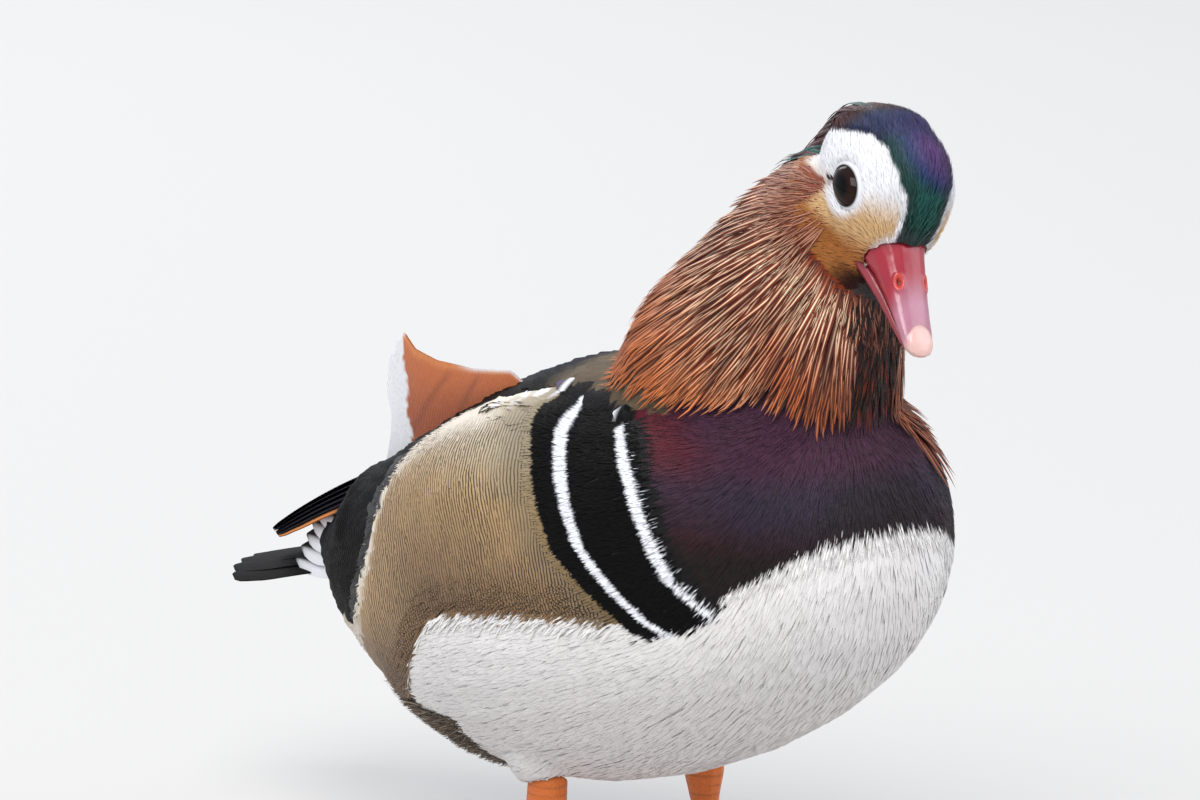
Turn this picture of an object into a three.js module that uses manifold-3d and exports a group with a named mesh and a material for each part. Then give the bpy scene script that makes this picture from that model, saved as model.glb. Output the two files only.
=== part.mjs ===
// A male mandarin duck, life size, standing with its head turned and bowed to its right.
// Millimetres, +Z up, the bird facing -Y, its left side on +X. The soles stand on z = 0, and the
// group is shifted at the end so that the origin is the middle of the bounding box's bottom.
import * as THREE from "three";
import { ParametricGeometry } from "three/addons/geometries/ParametricGeometry.js";
import { mergeVertices } from "three/addons/utils/BufferGeometryUtils.js";
import Module from "manifold-3d";

const wasm = await Module();
wasm.setup();

// Driving dimensions
const GAP = 0.3; // between neighbouring pieces
const STANCE_HALF_WIDTH = 29; // from the midline to each leg
const HOCK_HEIGHT = 43;
const SHANK_RADIUS = 3.1;
const TOE_RADIUS = 2.3;
const WEB_THICKNESS = 1.4;
const EYE_RADIUS = 5.5;
const HEAD_PLACE = new THREE.Vector3(-0.5, -118, 236.5); // midway between the eyes
const HEAD_TURN = { right: 12, down: 43.5, leftSideDown: 14 }; // degrees
const SIDES = { right: -1, left: 1 };

const FINE = 32; // facets around a large form
const MEDIUM = 18;
const SMALL = 10;

const degrees = THREE.MathUtils.degToRad;
const lerp = THREE.MathUtils.lerp;

// A smooth value through the stations' numbers under one name, at t from 0 to 1.
function along(stations, name, t) {
  const last = stations.length - 1;
  const i = Math.min(Math.floor(t * last), last - 1);
  const f = t * last - i;
  const at = (k) => stations[Math.max(0, Math.min(last, k))][name];
  const [a, b, c, d] = [at(i - 1), at(i), at(i + 1), at(i + 2)];
  const slope = [(c - a) / 2, (d - b) / 2];
  const f2 = f * f;
  const f3 = f2 * f;
  return (
    (2 * f3 - 3 * f2 + 1) * b + (f3 - 2 * f2 + f) * slope[0] + (3 * f2 - 2 * f3) * c + (f3 - f2) * slope[1]
  );
}

// A solid from any closed geometry, its loose ends merged and its faces turned outward.
function solid(geometry) {
  const bare = new THREE.BufferGeometry();
  bare.setAttribute("position", geometry.getAttribute("position"));
  if (geometry.index) bare.setIndex(geometry.index);
  const merged = mergeVertices(bare, 1e-3);
  const place = merged.attributes.position;
  const corner = [0, 1, 2].map(() => new THREE.Vector3());
  const kept = [];
  let volume = 0;
  for (let i = 0; i < merged.index.count; i += 3) {
    const face = [0, 1, 2].map((k) => merged.index.getX(i + k));
    if (face[0] === face[1] || face[1] === face[2] || face[2] === face[0]) continue;
    face.forEach((v, k) => corner[k].fromBufferAttribute(place, v));
    volume += corner[0].dot(corner[1].clone().cross(corner[2]));
    kept.push(face);
  }
  const triVerts = Uint32Array.from(kept.flatMap((face) => (volume < 0 ? face.toReversed() : face)));
  return new wasm.Manifold(new wasm.Mesh({ numProp: 3, vertProperties: place.array, triVerts }));
}

// A closed form with rounded sections: place(t) gives each section's middle, its sideways and upward
// directions, and how far it reaches to the sides, up and down.
function loft(place, around, steps) {
  const surface = (u, t, target) => {
    const s = place(t);
    const angle = 2 * Math.PI * u;
    const [c, n] = [Math.cos(angle), Math.sin(angle)];
    const round = (x) => Math.sign(x) * Math.abs(x) ** (s.squareness ?? 1);
    const out = s.reach ? s.reach(angle) : 1;
    target
      .copy(s.middle)
      .addScaledVector(s.side, round(c) * s.half * out)
      .addScaledVector(s.up, round(n) * (n > 0 ? s.above : s.below) * out);
  };
  return solid(new ParametricGeometry(surface, around, steps));
}

// A loft through sections that stand upright across the body, one after the other along Y.
function bodyLoft(stations, grow, around, steps, squareness = 1) {
  const side = new THREE.Vector3(1, 0, 0);
  const up = new THREE.Vector3(0, 0, 1);
  const last = stations.length - 1;
  return loft(
    (t) => {
      const get = (name) => along(stations, name, t);
      const [top, bottom] = [get("top"), get("bottom")];
      const widest = lerp(bottom, top, 0.47);
      const end = (t === 0 ? -1 : t === 1 ? 1 : 0) * Math.sign(stations[last].y - stations[0].y);
      const more = t === 0 || t === 1 ? 0 : grow;
      return {
        middle: new THREE.Vector3(get("x") || 0, get("y") + end * grow, widest),
        side,
        up,
        half: Math.max(0, get("half")) + more,
        above: Math.max(0, top - widest) + more,
        below: Math.max(0, widest - bottom) + more,
        squareness,
      };
    },
    around,
    steps,
  );
}

// A round or flattened rod through points. up is the direction that "above" and "below" grow in.
function rod(stations, up, grow, around, steps, reach) {
  const line = new THREE.CatmullRomCurve3(
    stations.map((s) => new THREE.Vector3(...s.at)),
    false,
    "centripetal",
  );
  return loft(
    (t) => {
      const tangent = line.getTangent(t);
      const side = tangent.clone().cross(up).normalize();
      const get = (name) => along(stations, name, t);
      const end = t === 0 ? -1 : t === 1 ? 1 : 0;
      const more = end ? 0 : grow;
      return {
        middle: line.getPoint(t).addScaledVector(tangent, end * grow),
        side,
        up: side.clone().cross(tangent).normalize(),
        half: Math.max(0, get("half")) + more,
        above: Math.max(0, get("back" in stations[0] ? "back" : "high")) + more,
        below: Math.max(0, get("front" in stations[0] ? "front" : "high")) + more,
        reach: reach && ((angle) => reach(angle, t)),
      };
    },
    around,
    steps,
  );
}

// The biggest piece left after a cut, without the crumbs.
function main(cut) {
  return cut.decompose().reduce((best, piece) => (piece.volume() > best.volume() ? piece : best));
}

function meshOf(name, made, material) {
  const m = made.getMesh();
  const geometry = new THREE.BufferGeometry();
  const places = new Float32Array(m.numVert * 3);
  for (let i = 0; i < m.numVert; i++) {
    places.set(m.vertProperties.subarray(i * m.numProp, i * m.numProp + 3), i * 3);
  }
  geometry.setAttribute("position", new THREE.BufferAttribute(places, 3));
  geometry.setIndex(new THREE.BufferAttribute(m.triVerts, 1));
  geometry.computeVertexNormals();
  const mesh = new THREE.Mesh(geometry, material);
  mesh.name = name;
  return mesh;
}

const finish = (color, roughness) => new THREE.MeshStandardMaterial({ color, roughness, metalness: 0 });
const materials = {
  body: finish(0x3a2430, 0.75),
  mane: finish(0xa5521f, 0.8),
  crest: finish(0x3b1d2a, 0.6),
  head: finish(0xe9dcc4, 0.8),
  wing: finish(0x15161c, 0.6),
  sail: finish(0xd0752f, 0.8),
  tail: finish(0x2a241e, 0.75),
  thigh: finish(0xcfcac6, 0.9),
  leg: finish(0xc8601f, 0.5),
  bill: finish(0xb3263c, 0.35),
  eye: finish(0x0b0706, 0.08),
  claw: finish(0x3a2c22, 0.4),
};

// Trunk: a deep breast in front, full flanks over the legs, and a rump that tapers to the tail.
const TRUNK = [
  { y: -117, top: 131, bottom: 131, half: 0 },
  { y: -112, top: 157, bottom: 108, half: 25 },
  { y: -97, top: 175, bottom: 88, half: 42 },
  { y: -66, top: 181, bottom: 67, half: 55 },
  { y: -28, top: 178, bottom: 51, half: 60 },
  { y: 14, top: 169, bottom: 43, half: 59 },
  { y: 52, top: 152, bottom: 47, half: 53 },
  { y: 86, top: 132, bottom: 64, half: 42 },
  { y: 110, top: 118, bottom: 78, half: 28 },
  { y: 126, top: 109, bottom: 88, half: 16 },
  { y: 134, top: 99, bottom: 99, half: 0 },
];
const trunkForm = (grow) => bodyLoft(TRUNK, grow, FINE, 18, 0.94);

// Neck: hidden by the mane but for the throat.
const NECK = [
  { at: [0, -58, 138], half: 27, high: 30 },
  { at: [0, -77, 166], half: 27, high: 29 },
  { at: [-1, -93, 192], half: 21, high: 22 },
  { at: [-1, -104, 214], half: 16, high: 15 },
  { at: [-1, -109, 230], half: 12, high: 12 },
];
const neckForm = (grow) => {
  const ends = [NECK[0], ...NECK, NECK[NECK.length - 1]].map((s) => ({ ...s }));
  ends[0] = { at: [0, -52, 128], half: 0, high: 0 };
  ends[ends.length - 1] = { at: [-1, -110, 238], half: 0, high: 0 };
  return rod(ends, new THREE.Vector3(0, -1, 0), grow, 16, 7);
};

// Head, in its own frame: origin midway between the eyes, bill towards -Y.
const HEAD = [
  { y: 26, top: -1, bottom: -1, half: 0 },
  { y: 23, top: 7, bottom: -10, half: 10 },
  { y: 14, top: 14.5, bottom: -17, half: 16 },
  { y: 4, top: 18.5, bottom: -20, half: 18 },
  { y: -6, top: 17.5, bottom: -19, half: 17 },
  { y: -13, top: 12, bottom: -18, half: 13 },
  { y: -18, top: 3, bottom: -16, half: 8.5 },
  { y: -20, top: -5, bottom: -5, half: 0 },
];
const headForm = (grow) => bodyLoft(HEAD, grow, MEDIUM, 10);

const BILL = [
  { y: -10, top: -6, bottom: -6, half: 0 },
  { y: -12, top: 0, bottom: -15, half: 9 },
  { y: -19, top: -2, bottom: -14.6, half: 7.6 },
  { y: -27, top: -5.6, bottom: -14.4, half: 6.6 },
  { y: -35, top: -9, bottom: -14.6, half: 5.8 },
  { y: -41, top: -10.8, bottom: -15.2, half: 5.2 },
  { y: -45, top: -12.2, bottom: -16, half: 4 },
  { y: -47, top: -14.2, bottom: -14.2, half: 0 },
];
const billForm = (grow) => bodyLoft(BILL, grow, 16, 10, 0.85);

const LOWER_BILL = [
  { y: -9, top: -16.5, bottom: -16.5, half: 0 },
  { y: -12, top: -13.5, bottom: -19, half: 7.2 },
  { y: -23, top: -13.2, bottom: -18, half: 5.8 },
  { y: -34, top: -13.5, bottom: -17.2, half: 4.8 },
  { y: -42, top: -14, bottom: -17, half: 3.6 },
  { y: -44, top: -15.8, bottom: -15.8, half: 0 },
];
const lowerBillForm = (grow) => bodyLoft(LOWER_BILL, grow, 12, 9, 0.9);

function eyeForm(side, grow) {
  const ball = new THREE.SphereGeometry(EYE_RADIUS, 14, 8);
  ball.scale(0.8, 1, 1);
  const share = (EYE_RADIUS + grow) / EYE_RADIUS;
  ball.scale(share, share, share);
  ball.translate(side * 14.2, 0, 0);
  return solid(ball);
}

// Crest: long feathers from the crown that hang behind the head.
const CREST = [
  { at: [0, 3, 17.5], half: 0, high: 0 },
  { at: [0, 10, 14.5], half: 9, high: 2.5 },
  { at: [0, 18, 8.5], half: 11, high: 4 },
  { at: [0.5, 24, -2], half: 10, high: 4.5 },
  { at: [1, 26, -16], half: 7.5, high: 3.5 },
  { at: [2, 27, -30], half: 4, high: 2.5 },
  { at: [2, 27, -42], half: 0, high: 0 },
];
const crestForm = (grow) => rod(CREST, new THREE.Vector3(0, 1, 0.25), grow, 12, 10);

// Mane: the ruff of long hackles that fans from the cheeks over the neck to the shoulders. Its
// upper rim closes round the back of the head, and its hem is a row of points on the shoulders.
const MANE = [
  { at: [-2, -104, 243], half: 0, back: 0, front: 0 },
  { at: [-2, -102, 237], half: 17, back: 17, front: 14 },
  { at: [-2, -93, 222], half: 22, back: 24, front: 17 },
  { at: [-2, -82, 206], half: 27, back: 29, front: 22 },
  { at: [-1, -70, 190], half: 32, back: 33, front: 27 },
  { at: [0, -58, 177], half: 36, back: 35, front: 30 },
  { at: [0, -50, 168], half: 37, back: 34, front: 29 },
  { at: [0, -46, 158], half: 30, back: 24, front: 24 },
  { at: [0, -44, 150], half: 0, back: 0, front: 0 },
];
const HACKLE_RIDGES = 20;
const maneForm = (grow) =>
  rod(MANE, new THREE.Vector3(0, 1, 0.28), grow, 2 * HACKLE_RIDGES, 9, (angle, t) => {
    const ridge = Math.sin(HACKLE_RIDGES * angle) * 0.03 * Math.min(1, 2 * t);
    return 1 + ridge;
  });

// Wing: folded on the upper side, the flight feathers crossed over the rump.
const wingStations = (side) => [
  { at: [side * 38, -38, 156], half: 0, high: 0 },
  { at: [side * 43, -28, 154], half: 14, high: 5 },
  { at: [side * 47, 8, 147], half: 19, high: 6 },
  { at: [side * 41, 50, 132], half: 18, high: 6 },
  { at: [side * 31, 90, 114], half: 13, high: 5.5 },
  { at: [side * 21, 125, 101], half: 8, high: 3.5 },
  { at: [side * 13, 153, 93.5], half: 4, high: 1.8 },
  { at: [side * 10, 165, 91], half: 0, high: 0 },
];
const wingForm = (side, grow) => rod(wingStations(side), new THREE.Vector3(side * 0.75, 0, 0.66), grow, 14, 16);

// Sails: the broad inner flight feathers that stand up behind the back. The left one lies lower.
const SAIL_THICKNESS = 1.6;
const SAILS = {
  right: { root: [18, 150], front: [24, 164], apex: [73, 167], rear: [84, 154], foot: [83, 116], x: 19, lean: 4 },
  left: { root: [40, 138], front: [46, 147], apex: [86, 150], rear: [98, 137], foot: [96, 110], x: 18, lean: 10 },
};
function sailForm(name, grow) {
  const s = SAILS[name];
  const outline = new THREE.Shape();
  outline.moveTo(...s.root);
  outline.lineTo(...s.front);
  outline.quadraticCurveTo(lerp(s.front[0], s.apex[0], 0.6), lerp(s.front[1], s.apex[1], 0.25), ...s.apex);
  outline.quadraticCurveTo(s.rear[0], lerp(s.rear[1], s.apex[1], 0.6), ...s.rear);
  outline.lineTo(...s.foot);
  outline.closePath();
  const depth = SAIL_THICKNESS + 2 * grow;
  const plate = new THREE.ExtrudeGeometry(outline, { depth, bevelEnabled: false, curveSegments: 5 });
  plate.translate(0, 0, -depth / 2);
  plate.rotateX(Math.PI / 2);
  plate.rotateZ(Math.PI / 2);
  const frame = new THREE.Matrix4()
    .makeTranslation(SIDES[name] * s.x, 0, s.foot[1])
    .multiply(new THREE.Matrix4().makeRotationY(SIDES[name] * degrees(s.lean)))
    .multiply(new THREE.Matrix4().makeTranslation(0, 0, -s.foot[1]));
  plate.applyMatrix4(frame);
  return solid(plate);
}

// Tail: a closed fan of broad rounded feathers.
const TAIL_ROOT = new THREE.Vector3(0, 112, 97);
const TAIL_LENGTH = 77;
const TAIL_DROOP = 14; // degrees below level
const TAIL_FEATHERS = 6;
function tailForm(grow) {
  const fan = [];
  for (let i = 0; i < TAIL_FEATHERS; i++) {
    const across = (i / (TAIL_FEATHERS - 1)) * 2 - 1;
    const length = TAIL_LENGTH * (1 - 0.16 * across * across);
    const half = 8.5 + grow;
    const vane = new THREE.Shape();
    vane.moveTo(-half * 0.7, 0);
    vane.lineTo(-half, -length * 0.55);
    vane.quadraticCurveTo(-half, -length * 0.9, 0, -length - grow);
    vane.quadraticCurveTo(half, -length * 0.9, half, -length * 0.55);
    vane.lineTo(half * 0.7, 0);
    vane.closePath();
    const depth = 2.2 + 2 * grow;
    const plate = new THREE.ExtrudeGeometry(vane, { depth, bevelEnabled: false, curveSegments: 2 });
    plate.translate(0, 0, -depth / 2);
    plate.rotateY(across * degrees(20));
    plate.rotateZ(Math.PI + across * degrees(10));
    plate.rotateX(-degrees(TAIL_DROOP));
    plate.translate(TAIL_ROOT.x + across * 9, TAIL_ROOT.y, TAIL_ROOT.z - 4.5 * across * across);
    fan.push(solid(plate));
  }
  return fan.reduce((all, feather) => all.add(feather));
}

// Thigh: the feathered lower thigh that shows below the belly.
const thighStations = (x) => [
  { at: [x * 0.9, 6, 80], half: 0, high: 0 },
  { at: [x * 0.92, 6, 74], half: 15, high: 19 },
  { at: [x, 3, 58], half: 12, high: 15 },
  { at: [x, 1, 49], half: 8, high: 9.5 },
  { at: [x, 0, 45.5], half: 0, high: 0 },
];
const thighForm = (side, grow) =>
  rod(thighStations(side * STANCE_HALF_WIDTH), new THREE.Vector3(0, -1, 0), grow, 12, 8);

const ANKLE = { y: -7, z: 5.5 };

// Shank: a bare scaly leg, with a knobbly hock above and a spread ankle below, where the toes start.
function shankForm(side, grow) {
  const x = side * STANCE_HALF_WIDTH;
  const r = SHANK_RADIUS;
  const stations = [
    { at: [x, 0, HOCK_HEIGHT + 13], half: 0, high: 0 },
    { at: [x, 0, HOCK_HEIGHT + 11], half: r * 1.5, high: r * 1.8 },
    { at: [x, 1, HOCK_HEIGHT], half: r * 1.8, high: r * 2.1 },
    { at: [x, 0, HOCK_HEIGHT - 12], half: r * 1.1, high: r * 1.2 },
    { at: [x, -4, 18], half: r, high: r * 1.05 },
    { at: [x, ANKLE.y + 1, 8], half: r * 1.35, high: r * 1.3 },
    { at: [x, ANKLE.y, 4.4], half: 0, high: 0 },
  ];
  return rod(stations, new THREE.Vector3(0, -1, 0), grow, SMALL, 9);
}

// Foot: three webbed toes flat on the ground and a small raised hind toe.
const TOES = [
  { name: "inner", turn: -27, length: 37 },
  { name: "middle", turn: -4, length: 47 },
  { name: "outer", turn: 20, length: 43 },
];
const HIND_TOE = { name: "hind", turn: 168, length: 13 };
const toeAt = (side, toe, far) => {
  const turn = degrees(side * toe.turn);
  return new THREE.Vector3(
    side * STANCE_HALF_WIDTH + Math.sin(turn) * far,
    ANKLE.y - Math.cos(turn) * far,
    0,
  );
};
const groundBox = () => {
  const box = new THREE.BoxGeometry(400, 400, 100);
  box.translate(0, 0, 50);
  return solid(box);
};
function toeForm(side, toe, grow) {
  const point = (share, z) => toeAt(side, toe, toe.length * share).setZ(z).toArray();
  const r = TOE_RADIUS;
  const stations = [
    { at: point(-0.08, ANKLE.z - 1), half: 0, high: 0 },
    { at: point(0, ANKLE.z - 1), half: r * 1.2, high: r * 1.3 },
    { at: point(0.3, 2.2), half: r, high: r },
    { at: point(0.62, 1.6), half: r * 0.92, high: r * 0.9 },
    { at: point(0.9, 1.3), half: r * 0.8, high: r * 0.8 },
    { at: point(1, 1), half: 0, high: 0 },
  ];
  return rod(stations, new THREE.Vector3(0, 0, 1), grow, 6, 5);
}
function webForm(side) {
  const tips = TOES.map((toe) => toeAt(side, toe, toe.length * 0.93));
  const heel = toeAt(side, TOES[1], 1);
  const web = new THREE.Shape();
  web.moveTo(heel.x, heel.y);
  web.lineTo(tips[0].x, tips[0].y);
  for (let i = 1; i < tips.length; i++) {
    const middle = tips[i - 1].clone().add(tips[i]).multiplyScalar(0.5).lerp(heel, 0.24);
    web.quadraticCurveTo(middle.x, middle.y, tips[i].x, tips[i].y);
  }
  web.closePath();
  const plate = new THREE.ExtrudeGeometry(web, { depth: WEB_THICKNESS, bevelEnabled: false, curveSegments: 4 });
  return solid(plate);
}
const footForm = (side) =>
  [...TOES, HIND_TOE]
    .map((toe) => toeForm(side, toe, 0))
    .reduce((all, toe) => all.add(toe), webForm(side))
    .intersect(groundBox());

// Claw: a short curved hook from the end of a toe to the ground.
function clawForm(side, toe, grow) {
  const point = (more, z) => toeAt(side, toe, toe.length + more).setZ(z).toArray();
  const size = toe === HIND_TOE ? 0.7 : 1;
  const stations = [
    { at: point(-2.2, 1.7), half: 0, high: 0 },
    { at: point(-1.6, 1.7), half: 1.25 * size, high: 1.35 * size },
    { at: point(1.2, 1.7), half: 0.95 * size, high: 1.1 * size },
    { at: point(4, 0.9), half: 0.4 * size, high: 0.5 * size },
    { at: point(5, 0.35), half: 0, high: 0 },
  ];
  return rod(stations, new THREE.Vector3(0, 0, 1), grow, 6, 5).intersect(groundBox());
}

// Assembly. Each piece is cut back from the ones that it meets, with the gap between them.
const duck = new THREE.Group();
const headGroup = new THREE.Group();
headGroup.position.copy(HEAD_PLACE);
headGroup.rotation.set(degrees(HEAD_TURN.down), degrees(HEAD_TURN.leftSideDown), -degrees(HEAD_TURN.right), "ZXY");
headGroup.updateMatrixWorld(true);
duck.add(headGroup);
const toBody = (made) => made.transform(headGroup.matrixWorld.toArray());
const cutBy = (made, ...others) => main(others.reduce((left, other) => left.subtract(other), made));

const eyes = Object.entries(SIDES).map(([name, side]) => [name, eyeForm(side, 0), eyeForm(side, GAP)]);
const head = cutBy(headForm(0), billForm(GAP), lowerBillForm(GAP), ...eyes.map((eye) => eye[2]));
headGroup.add(meshOf("head", head, materials.head));
headGroup.add(meshOf("bill_upper", billForm(0), materials.bill));
headGroup.add(meshOf("bill_lower", cutBy(lowerBillForm(0), billForm(GAP)), materials.bill));
eyes.forEach(([name, ball]) => headGroup.add(meshOf(`eye_${name}`, ball, materials.eye)));
const crest = cutBy(crestForm(0), headForm(GAP));
headGroup.add(meshOf("crest", crest, materials.crest));

const grownHead = toBody(headForm(GAP).add(lowerBillForm(GAP)).add(billForm(GAP)));
const grownCrest = toBody(crestForm(GAP));
const trunk = trunkForm(0);
duck.add(meshOf("trunk", trunk, materials.body));
duck.add(meshOf("neck", cutBy(neckForm(0), trunkForm(GAP), grownHead), materials.mane));

const mane = cutBy(maneForm(0), trunkForm(GAP), neckForm(GAP), grownHead, grownCrest);
for (const [name, side] of Object.entries(SIDES)) {
  const half = new THREE.BoxGeometry(200, 400, 400);
  half.translate(side * (100 + GAP / 2), 0, 200);
  duck.add(meshOf(`mane_${name}`, main(mane.intersect(solid(half))), materials.mane));
}

for (const [name, side] of Object.entries(SIDES)) {
  const wing = cutBy(wingForm(side, 0), trunkForm(GAP));
  duck.add(meshOf(`wing_${name}`, wing, materials.wing));
  const sail = cutBy(sailForm(name, 0), trunkForm(GAP), wingForm(side, GAP));
  duck.add(meshOf(`sail_${name}`, sail, materials.sail));
}
const wings = Object.values(SIDES).map((side) => wingForm(side, GAP));
duck.add(meshOf("tail", cutBy(tailForm(0), trunkForm(GAP), ...wings), materials.tail));

for (const [name, side] of Object.entries(SIDES)) {
  const shank = cutBy(shankForm(side, 0), trunkForm(GAP));
  duck.add(meshOf(`shank_${name}`, shank, materials.leg));
  duck.add(meshOf(`thigh_${name}`, cutBy(thighForm(side, 0), trunkForm(GAP), shankForm(side, GAP)), materials.thigh));
  const toes = [...TOES, HIND_TOE];
  const claws = toes.map((toe) => clawForm(side, toe, GAP));
  duck.add(meshOf(`foot_${name}`, cutBy(footForm(side), shankForm(side, GAP), ...claws), materials.leg));
  toes.forEach((toe) => duck.add(meshOf(`claw_${toe.name}_${name}`, clawForm(side, toe, 0), materials.claw)));
}

const box = new THREE.Box3().setFromObject(duck, true);
duck.position.set(-(box.min.x + box.max.x) / 2, -(box.min.y + box.max.y) / 2, -box.min.z);

export default duck;
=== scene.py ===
import math

import bpy
import numpy as np
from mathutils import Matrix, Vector
from mathutils.bvhtree import BVHTree


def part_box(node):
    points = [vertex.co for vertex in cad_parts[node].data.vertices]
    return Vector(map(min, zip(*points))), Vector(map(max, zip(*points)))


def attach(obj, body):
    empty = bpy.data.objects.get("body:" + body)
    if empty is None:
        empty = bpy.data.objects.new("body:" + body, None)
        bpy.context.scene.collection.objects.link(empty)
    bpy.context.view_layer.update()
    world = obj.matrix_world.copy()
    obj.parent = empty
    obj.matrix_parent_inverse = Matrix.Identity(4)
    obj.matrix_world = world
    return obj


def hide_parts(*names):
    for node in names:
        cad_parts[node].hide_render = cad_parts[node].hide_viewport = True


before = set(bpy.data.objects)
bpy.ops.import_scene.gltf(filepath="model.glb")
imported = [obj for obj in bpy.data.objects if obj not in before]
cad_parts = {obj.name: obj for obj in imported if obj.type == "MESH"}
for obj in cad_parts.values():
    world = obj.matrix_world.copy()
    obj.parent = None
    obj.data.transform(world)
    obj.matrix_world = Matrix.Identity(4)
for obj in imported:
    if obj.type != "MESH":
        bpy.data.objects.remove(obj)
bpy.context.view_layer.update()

# Skin. One soft hide under the whole coat, from the crown to the tail and down into the thighs, with
# the bare legs and webbed feet in the same piece. It is grown from the solids of flesh, melted
# together and smoothed, and lies under their surface by the depth of the feathers.
MM = 0.001
EYE_PLACE = np.array([14.2, 0.0, 0.0])
HEAD_PLACE = np.array([-0.5, -118.0, 236.5])
HEAD_TURN = (12.0, 43.5, 14.0)
SKIN_VOXEL = 1.5
LEG_VOXEL = 0.65
COAT_DEPTH = 1.7
FACE_COAT_DEPTH = 0.8
FLESH = ["head", "crest", "neck", "mane_right", "mane_left", "trunk", "wing_right", "wing_left"]
FLESH += ["thigh_right", "thigh_left"]
BARE = ["shank_right", "shank_left", "foot_right", "foot_left"]


def turned(right, down, left_down):
    y, p, r = (math.radians(-right), math.radians(down), math.radians(left_down))
    about_z = np.array([[math.cos(y), -math.sin(y), 0], [math.sin(y), math.cos(y), 0], [0, 0, 1]])
    about_x = np.array([[1, 0, 0], [0, math.cos(p), -math.sin(p)], [0, math.sin(p), math.cos(p)]])
    about_y = np.array([[math.cos(r), 0, math.sin(r)], [0, 1, 0], [-math.sin(r), 0, math.cos(r)]])
    return about_z @ about_x @ about_y


HEAD_AXES = turned(*HEAD_TURN)
# SHIFT takes a place in the frame to the places used here, with the legs at y = 0.
eye_low, eye_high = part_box("eye_left")
eye_middle = (np.array(eye_low) + np.array(eye_high)) / 2 / MM
SHIFT = HEAD_PLACE + HEAD_AXES @ EYE_PLACE - eye_middle
SHIFT[0] = 0.0
SHIFT[2] = 0.0


def in_head(points):
    return (points - HEAD_PLACE) @ HEAD_AXES


def from_head(points):
    return points @ HEAD_AXES.T + HEAD_PLACE


def smooth_step(low, high, value):
    t = np.clip((value - low) / (high - low), 0.0, 1.0)
    return t * t * (3 - 2 * t)


def object_from(name, points, faces):
    data = bpy.data.meshes.new(name)
    data.from_pydata(((points - SHIFT) * MM).tolist(), [], faces)
    data.update()
    made = bpy.data.objects.new(name, data)
    bpy.context.scene.collection.objects.link(made)
    return made


def solid_arrays(names, grow):
    points = []
    faces = []
    count = 0
    for name in names:
        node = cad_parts[name]
        for v in node.data.vertices:
            place = node.matrix_world @ v.co
            out = (node.matrix_world.to_3x3() @ v.normal).normalized()
            points.append(np.array(place) / MM + SHIFT + np.array(out) * grow)
        for f in node.data.polygons:
            faces.append([count + i for i in f.vertices])
        count += len(node.data.vertices)
    return np.array(points), faces


WING_TUCK_FROM = 96.0
WING_TUCK = 0.72
WING_FALL = 0.10
WING_CLOSE = 0.004


# The solids' wing ends are thick. The skin draws them in, and the long feathers reach beyond it.
def tucked(points):
    on_wing = (np.abs(points[:, 0]) > 9) & (points[:, 2] > 89)
    beyond = np.maximum(points[:, 1] - WING_TUCK_FROM, 0) * on_wing
    kept = points.copy()
    kept[:, 0] *= 1 - WING_CLOSE * beyond
    kept[:, 1] -= WING_TUCK * beyond
    kept[:, 2] -= WING_FALL * beyond
    return kept


def melted(name, names, grow, voxel, rounds):
    points, faces = solid_arrays([n for n in names if not n.startswith("wing")], grow)
    wings = [n for n in names if n.startswith("wing")]
    if wings:
        more, more_faces = solid_arrays(wings, grow)
        faces = faces + [[i + len(points) for i in f] for f in more_faces]
        points = np.concatenate([points, tucked(more)])
    rough = object_from(name + "_rough", points, faces)
    melt = rough.modifiers.new("melt", "REMESH")
    melt.mode = "VOXEL"
    melt.voxel_size = voxel * MM
    calm = rough.modifiers.new("calm", "SMOOTH")
    calm.factor = 0.5
    calm.iterations = rounds
    ready = rough.evaluated_get(bpy.context.evaluated_depsgraph_get())
    mesh = ready.to_mesh()
    count = len(mesh.vertices)
    flat = np.empty(count * 3)
    mesh.vertices.foreach_get("co", flat)
    normals = np.empty(count * 3)
    mesh.vertices.foreach_get("normal", normals)
    faces = [tuple(f.vertices) for f in mesh.polygons]
    ready.to_mesh_clear()
    bpy.data.objects.remove(rough)
    return flat.reshape(-1, 3) / MM + SHIFT, normals.reshape(-1, 3), faces


SKIN_GROW = 0.35
SKIN_CALM = 7
FACE_MIDDLE = np.array([0.0, 0.0, -2.0])
FLANK_EASE = 0.6
FLANK_ROUNDS = 200
SOCKET_DEPTH = 0.8
SOCKET_SLOPE = 0.5
skin_points, skin_normals, skin_faces = melted("skin", FLESH, SKIN_GROW, SKIN_VOXEL, SKIN_CALM)
from_face = np.linalg.norm(in_head(skin_points) - FACE_MIDDLE, axis=1)
depth = COAT_DEPTH + (FACE_COAT_DEPTH - COAT_DEPTH) * (1 - smooth_step(24.0, 34.0, from_face))
depth = depth * smooth_step(135.0, 105.0, skin_points[:, 1])
skin_points = skin_points - skin_normals * depth[:, None]

# Each flank is eased over a fixed number of rounds, to smooth the step where the closed wing meets the
# trunk.
links_a = np.array([f[i] for f in skin_faces for i in range(4)])
links_b = np.array([f[(i + 1) % 4] for f in skin_faces for i in range(4)])
x, y, z = np.abs(skin_points[:, 0]), skin_points[:, 1], skin_points[:, 2]
easing = FLANK_EASE * ((x > 24) & (y > -34) & (y < 84) & (z > 96) & (z < 158))[:, None]
count = len(skin_points)
seen = np.maximum(np.bincount(links_a, minlength=count), 1)[:, None]
for attempt in range(FLANK_ROUNDS):
    beside = skin_points[links_b]
    sums = np.stack([np.bincount(links_a, beside[:, k], count) for k in range(3)], 1)
    skin_points = skin_points + (sums / seen - skin_points) * easing

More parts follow.
